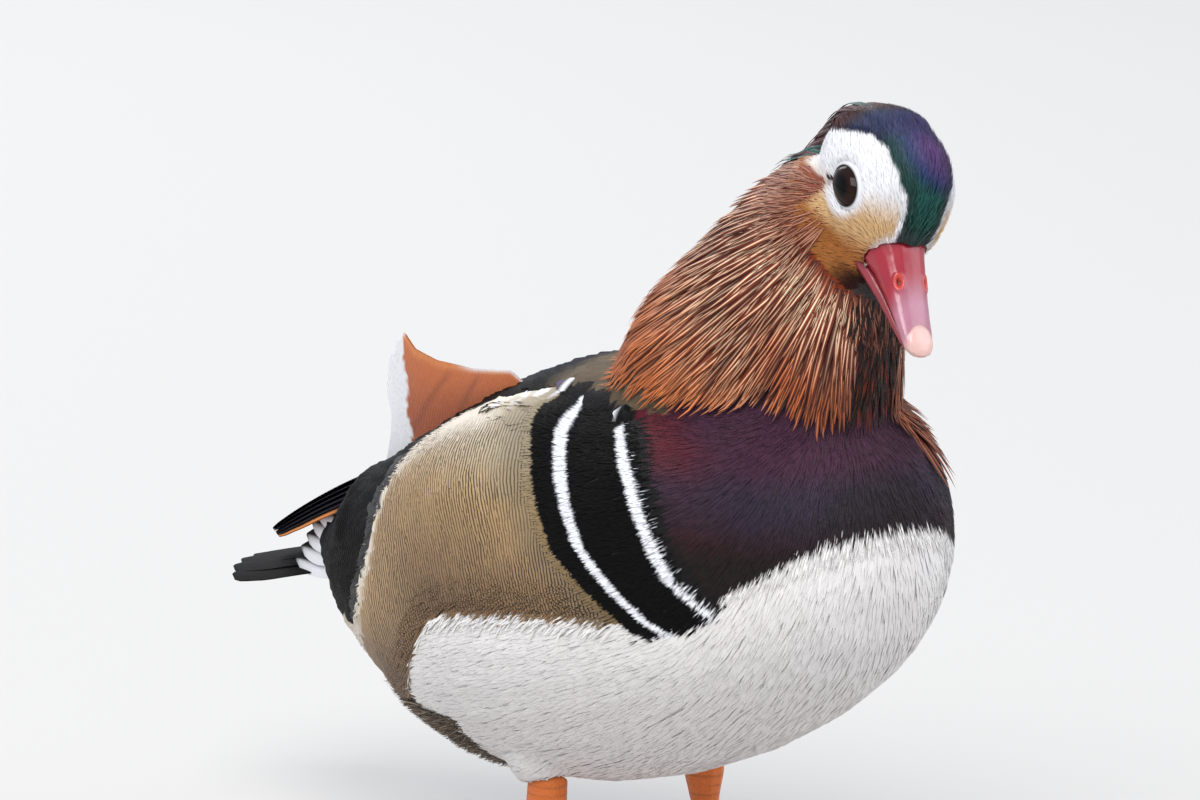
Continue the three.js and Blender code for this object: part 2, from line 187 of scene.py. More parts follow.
# Round each eye the skin sinks into a socket behind the ball.
local = in_head(skin_points)
from_eye = np.hypot(local[:, 1], local[:, 2])
out = np.abs(local[:, 0])
socket = EYE_PLACE[0] + SOCKET_DEPTH + SOCKET_SLOPE * np.maximum(from_eye - 6.0, 0)
out = np.where((from_eye < 11) & (out > 9), np.minimum(out, socket), out)
local[:, 0] = np.sign(local[:, 0]) * out
skin_points = from_head(local)
skin_tree = BVHTree.FromPolygons([Vector(p) for p in skin_points], skin_faces)


# The markings, as colours by place. Places are in millimetres, with the floor at z = 0 and the legs
# at y = 0, and the head's in its own frame. Every colour is written as the eye names it, in sRGB.
def paint(red, green, blue):
    value = np.array([red, green, blue]) / 255.0
    return np.where(value <= 0.04045, value / 12.92, ((value + 0.055) / 1.055) ** 2.4)


def mix(first, second, amount):
    return first + (second - first) * amount[:, None]


PURPLE = paint(62, 30, 50)
BURGUNDY = paint(84, 27, 38)
PAINTED_SHEEN_SLATE = paint(38, 36, 52)
UMBER = paint(24, 13, 13)
BELLY_WHITE = paint(226, 223, 221)
BELLY_PAINTED_SHADE = paint(176, 172, 172)
BLACK = paint(11, 10, 11)
BAR_WHITE = paint(236, 236, 242)
MANTLE = paint(92, 80, 64)
GOLD = paint(176, 144, 100)
FLANK_TOP = paint(186, 172, 146)
FLANK_LOW = paint(104, 76, 50)
FLANK_HEM = paint(98, 70, 50)
FLANK_FRONT = paint(108, 98, 78)
FLANK_PALE = paint(226, 217, 203)
VENT = paint(46, 37, 31)
VENT_PALE = paint(198, 190, 182)
BACK_BLUE = paint(18, 20, 34)
BACK_VIOLET = paint(86, 84, 158)
MANE_RUST = paint(134, 56, 26)
MANE_PINK = paint(146, 84, 66)
THROAT_AND_SHADE = paint(46, 20, 16)
BARS_TOP = 168.5
UPPER_FROM = 168.0


def belly_line(y):
    ys = [-120, -112, -108, -102, -95, -89, -78, -65, -35, 2, 18, 27, 40, 58]
    zs = [141, 137, 133, 128, 123, 118, 113, 111, 108, 102, 98, 90, 74, 56]
    return np.interp(y, ys, zs)


def bar_rear_edge(z):
    return np.interp(z, [105, 119, 128, 140, 152, 163, 172], [-74, -52, -37, -26, -18, -9, -2])


def rear_bar(z):
    return np.interp(z, [105, 113, 121, 131, 147, 158, 170], [-86, -72.5, -61, -48, -33.5, -25.5, -19])


def front_bar(z):
    return np.interp(z, [112, 120, 126, 139, 151, 160, 172], [-97, -87.5, -80, -71, -60.5, -50.5, -33])


def bar_front_edge(z):
    return np.interp(z, [112, 124, 135, 147, 162, 168, 178], [-101, -90, -82, -74, -61, -48, -36])


def flank_top(y):
    return np.interp(y, [-10, -5, 23, 39, 50, 54, 58, 64, 72], [168, 166, 158, 150, 140, 130, 114, 100, 84])


def zones(p):
    x, y, z = np.abs(p[:, 0]), p[:, 1], p[:, 2]
    below = belly_line(y) - z
    front, rear, top = bar_front_edge(z), bar_rear_edge(z), flank_top(y)
    in_bars = (y > front) & (y < rear) & (z < BARS_TOP) & (below < 2) & (x > 22)
    flank = (y >= rear) & (z < top) & (below < 0) & (x > 20)
    return {
        "belly": (below >= 0) & (y < 62),
        "bars": in_bars,
        "flank": flank & ~in_bars,
        "upper": (z >= np.minimum(top, UPPER_FROM)) & (y > -60),
        "rear": (y > 50) & (z < top) & ~flank,
        "breast": (below < 0) & (y <= front) & (z < 178),
    }


MANE_START = np.array([-2.0, -102.0, 237.0])
MANE_AXIS = np.array([0.0, -50.0, 168.0]) - MANE_START
HEM_Y = [-110, -85, -76, -61, -40, -24, 0]
HEM_ALONG = [0.62, 0.70, 0.82, 0.91, 1.05, 1.16, 1.3]


# How far down the mane a place lies, from 0 behind the eyes to about 1 at the hem.
def on_mane(p):
    along = (p - MANE_START) @ MANE_AXIS / (MANE_AXIS @ MANE_AXIS)
    return along, p - MANE_START - along[:, None] * MANE_AXIS


# The mane ends in a slanting hem, and its locks hang lower on the left front.
def mane_end(p):
    longer = 0.18 * smooth_step(8, 22, p[:, 0]) * smooth_step(-55, -82, p[:, 1])
    return np.interp(p[:, 1], HEM_Y, HEM_ALONG) + longer


def mane_area(p):
    along, away = on_mane(p)
    near = np.linalg.norm(away, axis=1) < 52
    return (along < mane_end(p) - 0.12) & (along > -0.3) & (p[:, 1] < -24) & (p[:, 2] > 152) & near


HEAD_MARKED = 26.5
HEAD_COATED = 27.5


def head_reach(h):
    return np.linalg.norm(h * np.array([1, 0.9, 1]) - np.array([0, 2, -2]), axis=1)


def on_head(h, radius):
    return (head_reach(h) < radius + 5 * smooth_step(4, -12, h[:, 1])) & (h[:, 2] > -24)


def plumage(p):
    x, y, z = np.abs(p[:, 0]), p[:, 1], p[:, 2]
    # Belly: white, painted greyer further below the belly line as painted shade under the body.
    colour = mix(BELLY_WHITE, BELLY_PAINTED_SHADE, 0.22 * smooth_step(0, 26, belly_line(y) - z))
    # Breast: plum above, wine red beside the bars, a slate blue painted sheen across the middle, umber
    # below.
    near_bars = smooth_step(26, 6, bar_front_edge(z) - y) * smooth_step(18, 30, x)
    breast = mix(PURPLE, BURGUNDY, near_bars)
    breast = mix(breast, PAINTED_SHEEN_SLATE, 0.75 * smooth_step(160, 150, z) * smooth_step(134, 144, z))
    breast = mix(breast, UMBER, smooth_step(150, 132, z))
    breast = mix(breast, UMBER, 0.7 * smooth_step(-108, -114, y) * smooth_step(168, 150, z))
    is_breast = (z > belly_line(y)) & (y <= bar_front_edge(z) + 0.5)
    colour[is_breast] = breast[is_breast]
    # Two white bars on black.
    rear_half = np.interp(z, [108, 120, 150, 163, 168], [1.7, 2.1, 2.7, 2.0, 0.6])
    front_half = np.interp(z, [116, 124, 150, 164, 168.5], [1.6, 2.0, 2.4, 2.2, 0.4])
    white = smooth_step(0.5, -0.5, np.abs(y - rear_bar(z)) - rear_half)
    white = np.maximum(white, smooth_step(0.5, -0.5, np.abs(y - front_bar(z)) - front_half))
    gap = smooth_step(1.2, 0.4, np.abs(z - 163.5 + 0.4 * (y - front_bar(z)))) * (y < -38)
    bars = mix(BLACK, BAR_WHITE, white * (1 - gap) * smooth_step(166.5, 165.5, z))
    in_bars = (y > bar_front_edge(z)) & (y < bar_rear_edge(z)) & (z > belly_line(y) - 4)
    colour[in_bars] = bars[in_bars]
    # Flank: golden buff, duller below, whitish along its upper rear edge.
    flank = mix(GOLD, FLANK_TOP, smooth_step(132, 156, z))
    low = np.clip((136 - z) / 30.0, 0, 1) * smooth_step(62, 16, y)
    flank = mix(flank, FLANK_LOW, low * 0.85)
    flank = mix(flank, FLANK_FRONT, 0.55 * smooth_step(24, 4, y - bar_rear_edge(z)))
    flank = mix(flank, FLANK_HEM, 0.7 * smooth_step(96, 74, z))
    edge = flank_top(y) - z
    flank = mix(flank, FLANK_PALE, 0.85 * smooth_step(14, 3, edge) * smooth_step(-2, 14, y))
    tuft = smooth_step(4.0, 1.5, edge) * smooth_step(0.3, 0.6, np.sin(y * 0.8)) * smooth_step(26, 20, y)
    flank = mix(flank, BAR_WHITE, tuft)
    is_flank = (y >= bar_rear_edge(z)) & (z < flank_top(y)) & (z > belly_line(y))
    colour[is_flank] = flank[is_flank]
    # Above the flank: black scapulars, a blue gloss on the back, olive grey on the shoulders.
    upper = mix(BLACK, BACK_BLUE, smooth_step(22, 12, x) * smooth_step(70, 20, y))
    shoulder = smooth_step(8, -7, y + 0.4 * np.maximum(x - 25, 0))
    upper = mix(upper, MANTLE, shoulder)
    gloss = np.hypot((y - 1.0) / 6.5, (x - 28.5) / 3.2)
    upper = mix(upper, BACK_VIOLET, 0.9 * smooth_step(1.1, 0.6, gloss))
    is_upper = (z >= np.minimum(flank_top(y), UPPER_FROM)) & (y > -62) & (z > 80)
    colour[is_upper] = upper[is_upper]
    # Rump side and vent, dark brown with a pale middle under the tail.
    is_rear = (y > 44) & (z < flank_top(y)) & ~is_flank
    under_tail = smooth_step(16, 6, x) * smooth_step(60, 72, y)
    colour[is_rear] = mix(VENT, VENT_PALE, under_tail)[is_rear]
    # Mane and throat.
    along, away = on_mane(p)
    rosy = smooth_step(0.25, 0.0, along) * smooth_step(-6, 8, away[:, 1])
    mane = mix(MANE_RUST, MANE_PINK, rosy)
    # The front of the neck under the bill is dark: partly the throat's own colour, partly painted shade
    # under the bill.
    mane = mix(mane, THROAT_AND_SHADE, smooth_step(10, 2, x) * smooth_step(-88, -100, y))
    is_mane = mane_area(p)
    colour[is_mane] = mane[is_mane]
    # Head.
    local = in_head(p)
    is_head = on_head(local, HEAD_MARKED)
    colour[is_head] = head_colour(local)[is_head]
    return colour


FACE_WHITE = paint(236, 236, 240)
FACE_TAN = paint(222, 184, 134)
CHEEK = paint(186, 118, 62)
CROWN_GREEN = paint(16, 82, 74)
CROWN_BLUE = paint(34, 52, 104)
CROWN_PURPLE = paint(88, 58, 112)
CROWN_INDIGO = paint(44, 40, 84)
CROWN_DARK = paint(26, 18, 26)
CREST_MAROON = paint(62, 24, 26)
NOTCH_BROWN = paint(40, 24, 20)
PATCH_Y = [-20, -17, -14, -11, -5.5, 2, 9, 14, 20.6, 26]
PATCH_Z = [-3, 3, 7.3, 10.8, 13.5, 14.2, 11.6, 6.4, -1.3, -12]


# The upper edge of the white patch on each side of the head.
def patch_top(y):
    return np.interp(y, PATCH_Y, PATCH_Z)


def crown_half(y):
    return np.interp(y, [-20, -17, -14, -11, -5, 2], [5.0, 5.8, 6.2, 6.8, 8.0, 8.5])


# How far a place lies outside the crown. Inside it the distance is negative.
def crown_distance(h):
    x = np.abs(h[:, 0])
    below = patch_top(h[:, 1]) - h[:, 2]
    outside = x - crown_half(h[:, 1])
    return np.where((h[:, 1] < -11) & (h[:, 2] > -10), np.minimum(outside, below + 6), below)


def head_colour(h):
    x, y, z = np.abs(h[:, 0]), h[:, 1], h[:, 2]
    # Face: white round the eye and beside the crown, tan and then chestnut towards the throat.
    low = -0.5 * y - 0.75 * z
    face = mix(FACE_WHITE, FACE_TAN, smooth_step(-3, 7, low))
    face = mix(face, CHEEK, smooth_step(9, 18, low + smooth_step(0, -10, z)))
    eye_ring = np.hypot(y, z / 1.15)
    face = mix(face, FACE_WHITE, smooth_step(9.5, 6.5, eye_ring) * smooth_step(6, 10, x))
    edge = crown_distance(h)
    face = mix(face, FACE_WHITE, smooth_step(1.8, 0.6, edge))
    face = mix(face, FACE_WHITE, 0.9 * smooth_step(-15.2, -17, y) * smooth_step(2, -2, z))
    # Under the head the face turns throat dark: partly the throat's own colour, partly painted shade.
    face = mix(face, THROAT_AND_SHADE, smooth_step(-17, -20, z))
    behind = smooth_step(0.9, -0.9, z + 4.6 + 0.72 * (y - 4.9)) * smooth_step(4.0, 7.0, y)
    face = mix(face, MANE_PINK, behind)
    # A darker copy of the cheek colour low on the face at the front: painted shade under the head.
    face = mix(face, CHEEK * 0.75, smooth_step(13, 17, -z) * smooth_step(-16, -8, y))
    notch = np.hypot((y - 6.3) / 1.4, (z + 4.4) / 0.8)
    face = mix(face, NOTCH_BROWN, smooth_step(1.2, 0.7, notch))
    # Crown: green at the sides, blue and violet on top, indigo and then maroon behind.
    crown = mix(CROWN_GREEN, CROWN_DARK, smooth_step(7, 1, z) * smooth_step(-12, -15, y) * 0.55)
    crown = mix(crown, CROWN_BLUE, smooth_step(12.0, 16.0, z + 0.25 * h[:, 0]))
    crown = mix(crown, CROWN_PURPLE, smooth_step(14.5, 18.5, z + 0.35 * h[:, 0]))
    crown = mix(crown, CROWN_INDIGO, 0.85 * smooth_step(2, 8, y) * smooth_step(24, 14, y))
    crown = mix(crown, CREST_MAROON, smooth_step(14, 20, y))
    rim = smooth_step(3.5, 0.5, -edge)
    crown = mix(crown, CROWN_DARK, 0.55 * rim)
    return mix(crown, face, smooth_step(-0.35, 0.35, edge))


def put_colours(made, colours):
    layer = made.data.color_attributes.new("markings", "FLOAT_COLOR", "POINT")
    filled = np.ones((len(colours), 4), dtype=np.float32)
    filled[:, :3] = np.clip(colours, 0, 1)
    layer.data.foreach_set("color", filled.ravel())


# The unwrap of the skin's own shape: the trunk rolled out round its length, the head and mane as a
# globe beside it, and the legs below that.
def unwrap(p):
    body_u = 0.02 + 0.64 * (np.arctan2(p[:, 0], p[:, 2] - 108) / (2 * math.pi) + 0.5)
    body_v = 0.02 + 0.96 * (p[:, 1] + 125) / 320.0
    away = p - np.array([-1.0, -92.0, 205.0])
    turn = np.arctan2(away[:, 0], away[:, 1]) / (2 * math.pi) + 0.5
    rise = np.arcsin(np.clip(away[:, 2] / np.linalg.norm(away, axis=1), -1, 1)) / math.pi + 0.5
    top = (p[:, 2] > 178) & (p[:, 1] < -5)
    leg = p[:, 2] < 45
    u = np.where(top, 0.69 + 0.29 * turn, body_u)
    v = np.where(top, 0.3 + 0.68 * rise, body_v)
    u = np.where(leg, 0.7 + 0.28 * (p[:, 0] + 60) / 120.0, u)
    v = np.where(leg, 0.02 + 0.25 * (p[:, 1] + 70 + p[:, 2]) / 140.0, v)
    return np.clip(np.stack([u, v], 1), 0.001, 0.999)


def put_uv(made, corner_uv):
    layer = made.data.uv_layers.new(name="OFBake")
    layer.data.foreach_set("uv", corner_uv.astype(np.float32).ravel())


def corner_vertices(made):
    index = np.empty(len(made.data.loops), dtype=np.int32)
    made.data.loops.foreach_get("vertex_index", index)
    return index


def shade_smooth(made):
    made.data.polygons.foreach_set("use_smooth", np.ones(len(made.data.polygons), dtype=bool))


LEG_ORANGE = paint(204, 104, 36)
LEG_DARK = paint(120, 66, 34)
WEB_DARK = paint(84, 60, 44)
LEG_GROW = 0.3
LEG_CALM = 3
LEG_DEPTH = 0.25
SOLE_HEIGHT = 0.02
leg_points, leg_normals, leg_faces = melted("legs", BARE, LEG_GROW, LEG_VOXEL, LEG_CALM)
leg_points = leg_points - leg_normals * LEG_DEPTH
leg_points[:, 2] = np.maximum(leg_points[:, 2], SOLE_HEIGHT)
all_points = np.concatenate([skin_points, leg_points])
all_faces = skin_faces + [tuple(i + len(skin_points) for i in f) for f in leg_faces]
skin = object_from("skin", all_points, all_faces)
shade_smooth(skin)
on_web = smooth_step(1.9, 1.2, leg_points[:, 2]) * smooth_step(-10, -16, leg_points[:, 1])
rings = smooth_step(0.8, 1.0, np.sin(leg_points[:, 2] * 2.1))
leg_colour = mix(LEG_ORANGE, WEB_DARK, 0.75 * on_web)
leg_colour = mix(leg_colour, LEG_DARK, 0.5 * rings * (1 - on_web))
skin_colour = plumage(skin_points)
# The skin is painted darker than the plumage over it, most of all under dark feathers: painted shade in the
# gaps between the feathers.
skin_colour = skin_colour * (0.3 + 0.65 * skin_colour.mean(1))[:, None]
put_colours(skin, np.concatenate([skin_colour, leg_colour]))
put_uv(skin, unwrap(all_points)[corner_vertices(skin)])


def dress(made, material):
    made.data.materials.append(material)
    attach(made, "root")


def new_material(name, roughness, specular=0.5):
    made = bpy.data.materials.new(name)
    made.use_nodes = True
    shader = made.node_tree.nodes["Principled BSDF"]
    shader.inputs["Roughness"].default_value = roughness
    shader.inputs["Specular IOR Level"].default_value = specular
    return made, made.node_tree.nodes, made.node_tree.links, shader


def add(nodes, kind, values):
    made = nodes.new("ShaderNode" + kind)
    for name, value in values.items():
        made.inputs[name].default_value = value
    return made


def read(nodes, name):
    node = nodes.new("ShaderNodeAttribute")
    node.attribute_name = name
    return node


def maths(nodes, links, kind, *values):
    node = nodes.new("ShaderNodeMath")
    node.operation = kind
    for socket, value in zip(node.inputs, values):
        if isinstance(value, (int, float)):
            socket.default_value = value
        else:
            links.new(value, socket)
    return node.outputs["Value"]


def set_on_object(nodes, links, *textures):
    place = nodes.new("ShaderNodeTexCoord")
    for texture in textures:
        links.new(place.outputs["Object"], texture.inputs["Vector"])


hide, nodes, links, shader = new_material("skin", 0.55)
# Fine scales, which show on the bare legs.
scales = add(nodes, "TexVoronoi", {"Scale": 620.0})
scales.feature = "DISTANCE_TO_EDGE"
set_on_object(nodes, links, scales)
groove = maths(nodes, links, "MINIMUM", scales.outputs["Distance"], 0.12)
bump = add(nodes, "Bump", {"Strength": 0.5, "Distance": 0.002})
links.new(groove, bump.inputs["Height"])
links.new(bump.outputs["Normal"], shader.inputs["Normal"])
links.new(read(nodes, "markings").outputs["Color"], shader.inputs["Base Color"])
dress(skin, hide)
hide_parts(*FLESH, *BARE)

# Coat of the body. Contour feathers too fine to tell apart, laid as slender vanes that start on the
# skin and run along it: short and smooth on the breast and the bars, softer and whiter on the belly.
def unit(vectors):
    return vectors / np.maximum(np.linalg.norm(vectors, axis=-1, keepdims=True), 1e-9)


face_index = [np.array([f[i % len(f)] for f in skin_faces]) for i in range(4)]
face_corners = np.stack([skin_points[i] for i in face_index], 1)
face_middle = face_corners.mean(1)
face_way = np.cross(face_corners[:, 2] - face_corners[:, 0], face_corners[:, 3] - face_corners[:, 1])
face_area = np.linalg.norm(face_way, axis=1) / 2
corner_index = np.concatenate(face_index)
corner_way = np.tile(face_way, (4, 1))
vertex_way = np.stack([np.bincount(corner_index, corner_way[:, k], len(skin_points)) for k in range(3)], 1)
vertex_way = unit(vertex_way)
face_normal = unit(np.stack([vertex_way[i] for i in face_index], 1).mean(1))
dice = np.random.default_rng(11)


def on_skin(points):
    places = np.empty_like(points)
    normals = np.empty_like(points)
    for i, point in enumerate(points):
        place, _, index, _ = skin_tree.find_nearest(point)
        places[i] = place
        normals[i] = face_normal[index]
    return places, normals


def tangent(direction, normal):
    return unit(direction - (direction * normal).sum(1)[:, None] * normal)


# Roots spread over the faces of a zone, so many to a square centimetre.
def scatter(where, per_cm2):
    sums = np.cumsum(np.where(where, face_area * per_cm2 / 100.0, 0.0))
    count = int(sums[-1])
    chosen = np.searchsorted(sums, np.arange(count) + dice.random(count))
    a, b = dice.random(count)[:, None], dice.random(count)[:, None]
    c = face_corners[np.clip(chosen, 0, len(sums) - 1)]
    return (c[:, 0] * (1 - a) + c[:, 1] * a) * (1 - b) + (c[:, 3] * (1 - a) + c[:, 2] * a) * b


def way(across, along, up):
    return np.stack(np.broadcast_arrays(across, along, up), 1).astype(float)


def body_flow(p):
    sign = np.tanh(p[:, 0] / 8.0)
    side, down, top = way(0.05 * sign, 1, -0.42), way(0.22 * sign, 0.3, -1), way(-0.1 * sign, 1, -0.3)
    over = smooth_step(150, 165, p[:, 2]) * smooth_step(-60, -20, p[:, 1])
    return mix(mix(side, down, smooth_step(-62, -112, p[:, 1])), top, over)


# Outlines of a feather: its half width, as a share of the widest, from root to tip.
OUTLINES = {
    "strand": ([0, 0.15, 0.5, 0.85, 1], [0.45, 0.9, 1.0, 0.55, 0.06]),
    "vane": ([0, 0.15, 0.4, 0.7, 0.88, 0.96, 1], [0.3, 0.62, 0.92, 1.0, 0.8, 0.5, 0.12]),
    "hackle": ([0, 0.1, 0.35, 0.6, 0.85, 1], [0.4, 0.8, 1.0, 0.85, 0.42, 0.04]),
}
PATCH_HALF = 0.0015


# One coat piece. Each feather walks from its root along the flow and follows the skin. It rises from
# the first of the two heights to the second, and takes the markings of the places it covers.
def coat(name, material, roots, flow, length, width, grid, heights, outline="strand", fan=6.0,
         arch=0.12, ragged=1.0, tone=0.1, float_up=0.0, colours=None, memory=0.0, painted_root_shade=0.25):
    rows, across = grid
    base, tip = heights
    count = len(roots)
    length = np.broadcast_to(length, count) * (0.82 + 0.36 * dice.random(count))
    width = np.broadcast_to(width, count) * (0.85 + 0.3 * dice.random(count))
    stray = np.radians(fan) * dice.normal(size=count)
    tip = tip * (0.75 + 0.5 * dice.random(count))
    ts = np.linspace(0, 1, rows + 1)
    s = np.linspace(-1, 1, across + 1)
    place, normal = on_skin(roots)
    middle = place + normal * base
    heading = None
    centres, sides, ups, spots = [], [], [], []
    for k in range(rows + 1):
        course = tangent(flow(place), normal)
        course = course * np.cos(stray)[:, None] + np.cross(course, normal) * np.sin(stray)[:, None]
        if memory and heading is not None:
            course = unit(course * (1 - memory) + tangent(heading, normal) * memory)
        heading = course
        centres.append(middle)
        sides.append(np.cross(heading, normal))
        ups.append(normal)
        spots.append(place)
        if k < rows:
            ahead = middle + heading * (length / rows)[:, None]
            place, normal = on_skin(ahead)
            wanted = base + (tip - base) * ts[k + 1] ** 1.3
            height = ((ahead - place) * normal).sum(1)
            room = wanted + float_up * ts[k + 1] ** 2
            middle = place + normal * np.maximum(wanted, np.minimum(height, room))[:, None]
    centres, sides, ups, spots = [np.stack(a, 1) for a in (centres, sides, ups, spots)]
    half = 0.5 * width[:, None] * np.interp(ts, *OUTLINES[outline])[None, :]
    spread = half[:, :, None] * s
    drop = arch * half[:, :, None] * 2 * s**2
    points = centres[:, :, None] + sides[:, :, None] * spread[..., None] - ups[:, :, None] * drop[..., None]
    slip = ragged * dice.normal(size=count)
    tones = 1 + tone * np.clip(dice.normal(size=count), -2, 2)
    if colours is None:
        sample = spots + unit(np.gradient(spots, axis=1)) * slip[:, None, None]
        tint = plumage(sample.reshape(-1, 3)).reshape(count, rows + 1, 1, 3)
        tint = np.repeat(tint, across + 1, axis=2)
    else:
        tint = colours(len(roots), ts, s, spots)
    # Each feather is painted darker towards its root, as painted shade where the feathers lie over one
    # another.
    fade = 1 - painted_root_shade * (1 - np.minimum(1, ts / 0.45))
    tint = tint * tones[:, None, None, None] * fade[None, :, None, None]
    made = raise_mesh(name, points, tint, roots, ts, s, length)
    dress(made, material)
    return made


# Feathers as grids of points become one mesh. "vane" holds the place across the feather, the distance
# along it and a chance number. Each feather's patch in OFBake lies at its root's place.
def raise_mesh(name, points, tint, roots, ts, s, length):
    count, rows, cols = points.shape[:3]
    number = np.arange(count * rows * cols).reshape(count, rows, cols)
    quads = [number[:, :-1, :-1], number[:, :-1, 1:], number[:, 1:, 1:], number[:, 1:, :-1]]
    quads = np.stack(quads, -1).reshape(-1, 4)
    data = bpy.data.meshes.new(name)
    flat = ((points.reshape(-1, 3) - SHIFT) * MM).astype(np.float32)
    data.vertices.add(len(flat))
    data.vertices.foreach_set("co", flat.ravel())
    data.loops.add(quads.size)
    data.loops.foreach_set("vertex_index", quads.ravel().astype(np.int32))
    data.polygons.add(len(quads))
    data.polygons.foreach_set("loop_start", (np.arange(len(quads)) * 4).astype(np.int32))
    data.update()
    made = bpy.data.objects.new(name, data)
    bpy.context.scene.collection.objects.link(made)
    shade_smooth(made)
    put_colours(made, tint.reshape(-1, 3))
    vane = np.zeros((count, rows, cols, 3), dtype=np.float32)
    vane[..., 0] = s
    vane[..., 1] = ts[None, :, None] * length[:, None, None]
    vane[..., 2] = dice.random(count)[:, None, None]
    layer = data.attributes.new("vane", "FLOAT_VECTOR", "POINT")
    layer.data.foreach_set("vector", vane.ravel())
    spot = unwrap(roots)[:, None, None, :] + np.zeros((count, rows, cols, 2))
    spot[..., 0] += PATCH_HALF * s
    spot[..., 1] += PATCH_HALF * (2 * ts[:, None] - 1)
    put_uv(made, np.clip(spot.reshape(-1, 2)[quads.ravel()], 0, 1))
    return made


# The barbs: fine slanting lines on both sides of the shaft, with a little uneven grain.
BARB_SLANT = 1.1
BARB_DEPTH = 0.0006


def barb_group():
    group = bpy.data.node_groups.new("feather barbs", "ShaderNodeTree")
    face = group.interface
    face.new_socket("Colour", in_out="INPUT", socket_type="NodeSocketColor")
    for name in ("Barbs per mm", "Contrast", "Relief"):
        face.new_socket(name, in_out="INPUT", socket_type="NodeSocketFloat")
    face.new_socket("Colour", in_out="OUTPUT", socket_type="NodeSocketColor")
    face.new_socket("Normal", in_out="OUTPUT", socket_type="NodeSocketVector")
    nodes, links = group.nodes, group.links
    came = nodes.new("NodeGroupInput")
    goes = nodes.new("NodeGroupOutput")
    part = nodes.new("ShaderNodeSeparateXYZ")
    links.new(read(nodes, "vane").outputs["Vector"], part.inputs["Vector"])

    def sum_of(kind, *values):
        return maths(nodes, links, kind, *values)

    slant = sum_of("MULTIPLY", sum_of("ABSOLUTE", part.outputs["X"]), BARB_SLANT)
    run = sum_of("SUBTRACT", part.outputs["Y"], slant)
    shifted = sum_of("ADD", run, sum_of("MULTIPLY", part.outputs["Z"], 9.0))
    turns = sum_of("MULTIPLY", came.outputs["Barbs per mm"], 6.28)
    wave = sum_of("SINE", sum_of("MULTIPLY", shifted, turns))
    grain = add(nodes, "TexNoise", {"Scale": 700.0, "Detail": 2.0})
    set_on_object(nodes, links, grain)
    rough = sum_of("SUBTRACT", grain.outputs["Fac"], 0.5)
    mixed = sum_of("ADD", sum_of("MULTIPLY", wave, 0.5), sum_of("MULTIPLY", rough, 1.6))
    gain = sum_of("ADD", sum_of("MULTIPLY", mixed, came.outputs["Contrast"]), 1.0)
    scale = nodes.new("ShaderNodeVectorMath")
    scale.operation = "SCALE"
    links.new(came.outputs["Colour"], scale.inputs["Vector"])
    links.new(gain, scale.inputs["Scale"])
    links.new(scale.outputs["Vector"], goes.inputs["Colour"])
    bump = add(nodes, "Bump", {"Distance": BARB_DEPTH})
    links.new(came.outputs["Relief"], bump.inputs["Strength"])
    links.new(mixed, bump.inputs["Height"])
    links.new(bump.outputs["Normal"], goes.inputs["Normal"])
    return group


BARBS = barb_group()


def barbed(nodes, links, shader, colour, barbs, contrast, relief):
    detail = nodes.new("ShaderNodeGroup")
    detail.node_tree = BARBS
    detail.inputs["Barbs per mm"].default_value = barbs
    detail.inputs["Contrast"].default_value = contrast
    detail.inputs["Relief"].default_value = relief
    links.new(colour, detail.inputs["Colour"])
    links.new(detail.outputs["Colour"], shader.inputs["Base Color"])
    links.new(detail.outputs["Normal"], shader.inputs["Normal"])


def feather_material(name, roughness, specular, barbs, contrast, relief, sheen=0.0):
    made, nodes, links, shader = new_material(name, roughness, specular)
    shader.inputs["Sheen Weight"].default_value = sheen
    shader.inputs["Sheen Roughness"].default_value = 0.4
    barbed(nodes, links, shader, read(nodes, "markings").outputs["Color"], barbs, contrast, relief)
    return made


zone = zones(face_middle)
middle_head = in_head(face_middle)
is_head = on_head(middle_head, HEAD_COATED)
is_mane = mane_area(face_middle) & ~is_head
body_part = ~is_head & ~is_mane
soft = feather_material("breast", 0.55, 0.22, barbs=0.9, contrast=0.22, relief=0.35, sheen=0.05)
downy = feather_material("belly", 0.8, 0.2, barbs=1.2, contrast=0.05, relief=0.2, sheen=0.1)
satin = feather_material("bars", 0.65, 0.08, barbs=1.2, contrast=0.10, relief=0.25)
roots = scatter(zone["breast"] & body_part, per_cm2=115)
coat("coat_breast", soft, roots, body_flow, length=8.0, width=0.75, grid=(4, 2),
     heights=(0.05, 0.6), fan=3.5, tone=0.13)
roots = scatter(zone["belly"] & body_part, per_cm2=38)
coat("coat_belly", downy, roots, body_flow, length=9.5, width=1.15, grid=(4, 2),
     heights=(0.05, 0.42), fan=3.5, arch=0.04, ragged=2.2, tone=0.03, painted_root_shade=0.0)
roots = scatter(zone["bars"] & body_part, per_cm2=130)
coat("coat_bars", satin, roots, body_flow, length=4.6, width=0.8, grid=(5, 2),
     heights=(0.05, 0.7), fan=3, ragged=0.25, tone=0.05)

# Flanks. Broad smooth feathers that overlap like tiles, golden buff, with the species' fine wavy
# dark lines running across them, and a frayed rear edge over the black rump.
LINE_DARK = (0.16, 0.13, 0.11, 1)
LINE_SCALE = 255.0
LINE_SLANT = math.radians(24)


def flank_flow(p):
    low = smooth_step(130, 95, p[:, 2])
    return way(0, 1 - 0.1 * low, -0.38 - 0.35 * low)


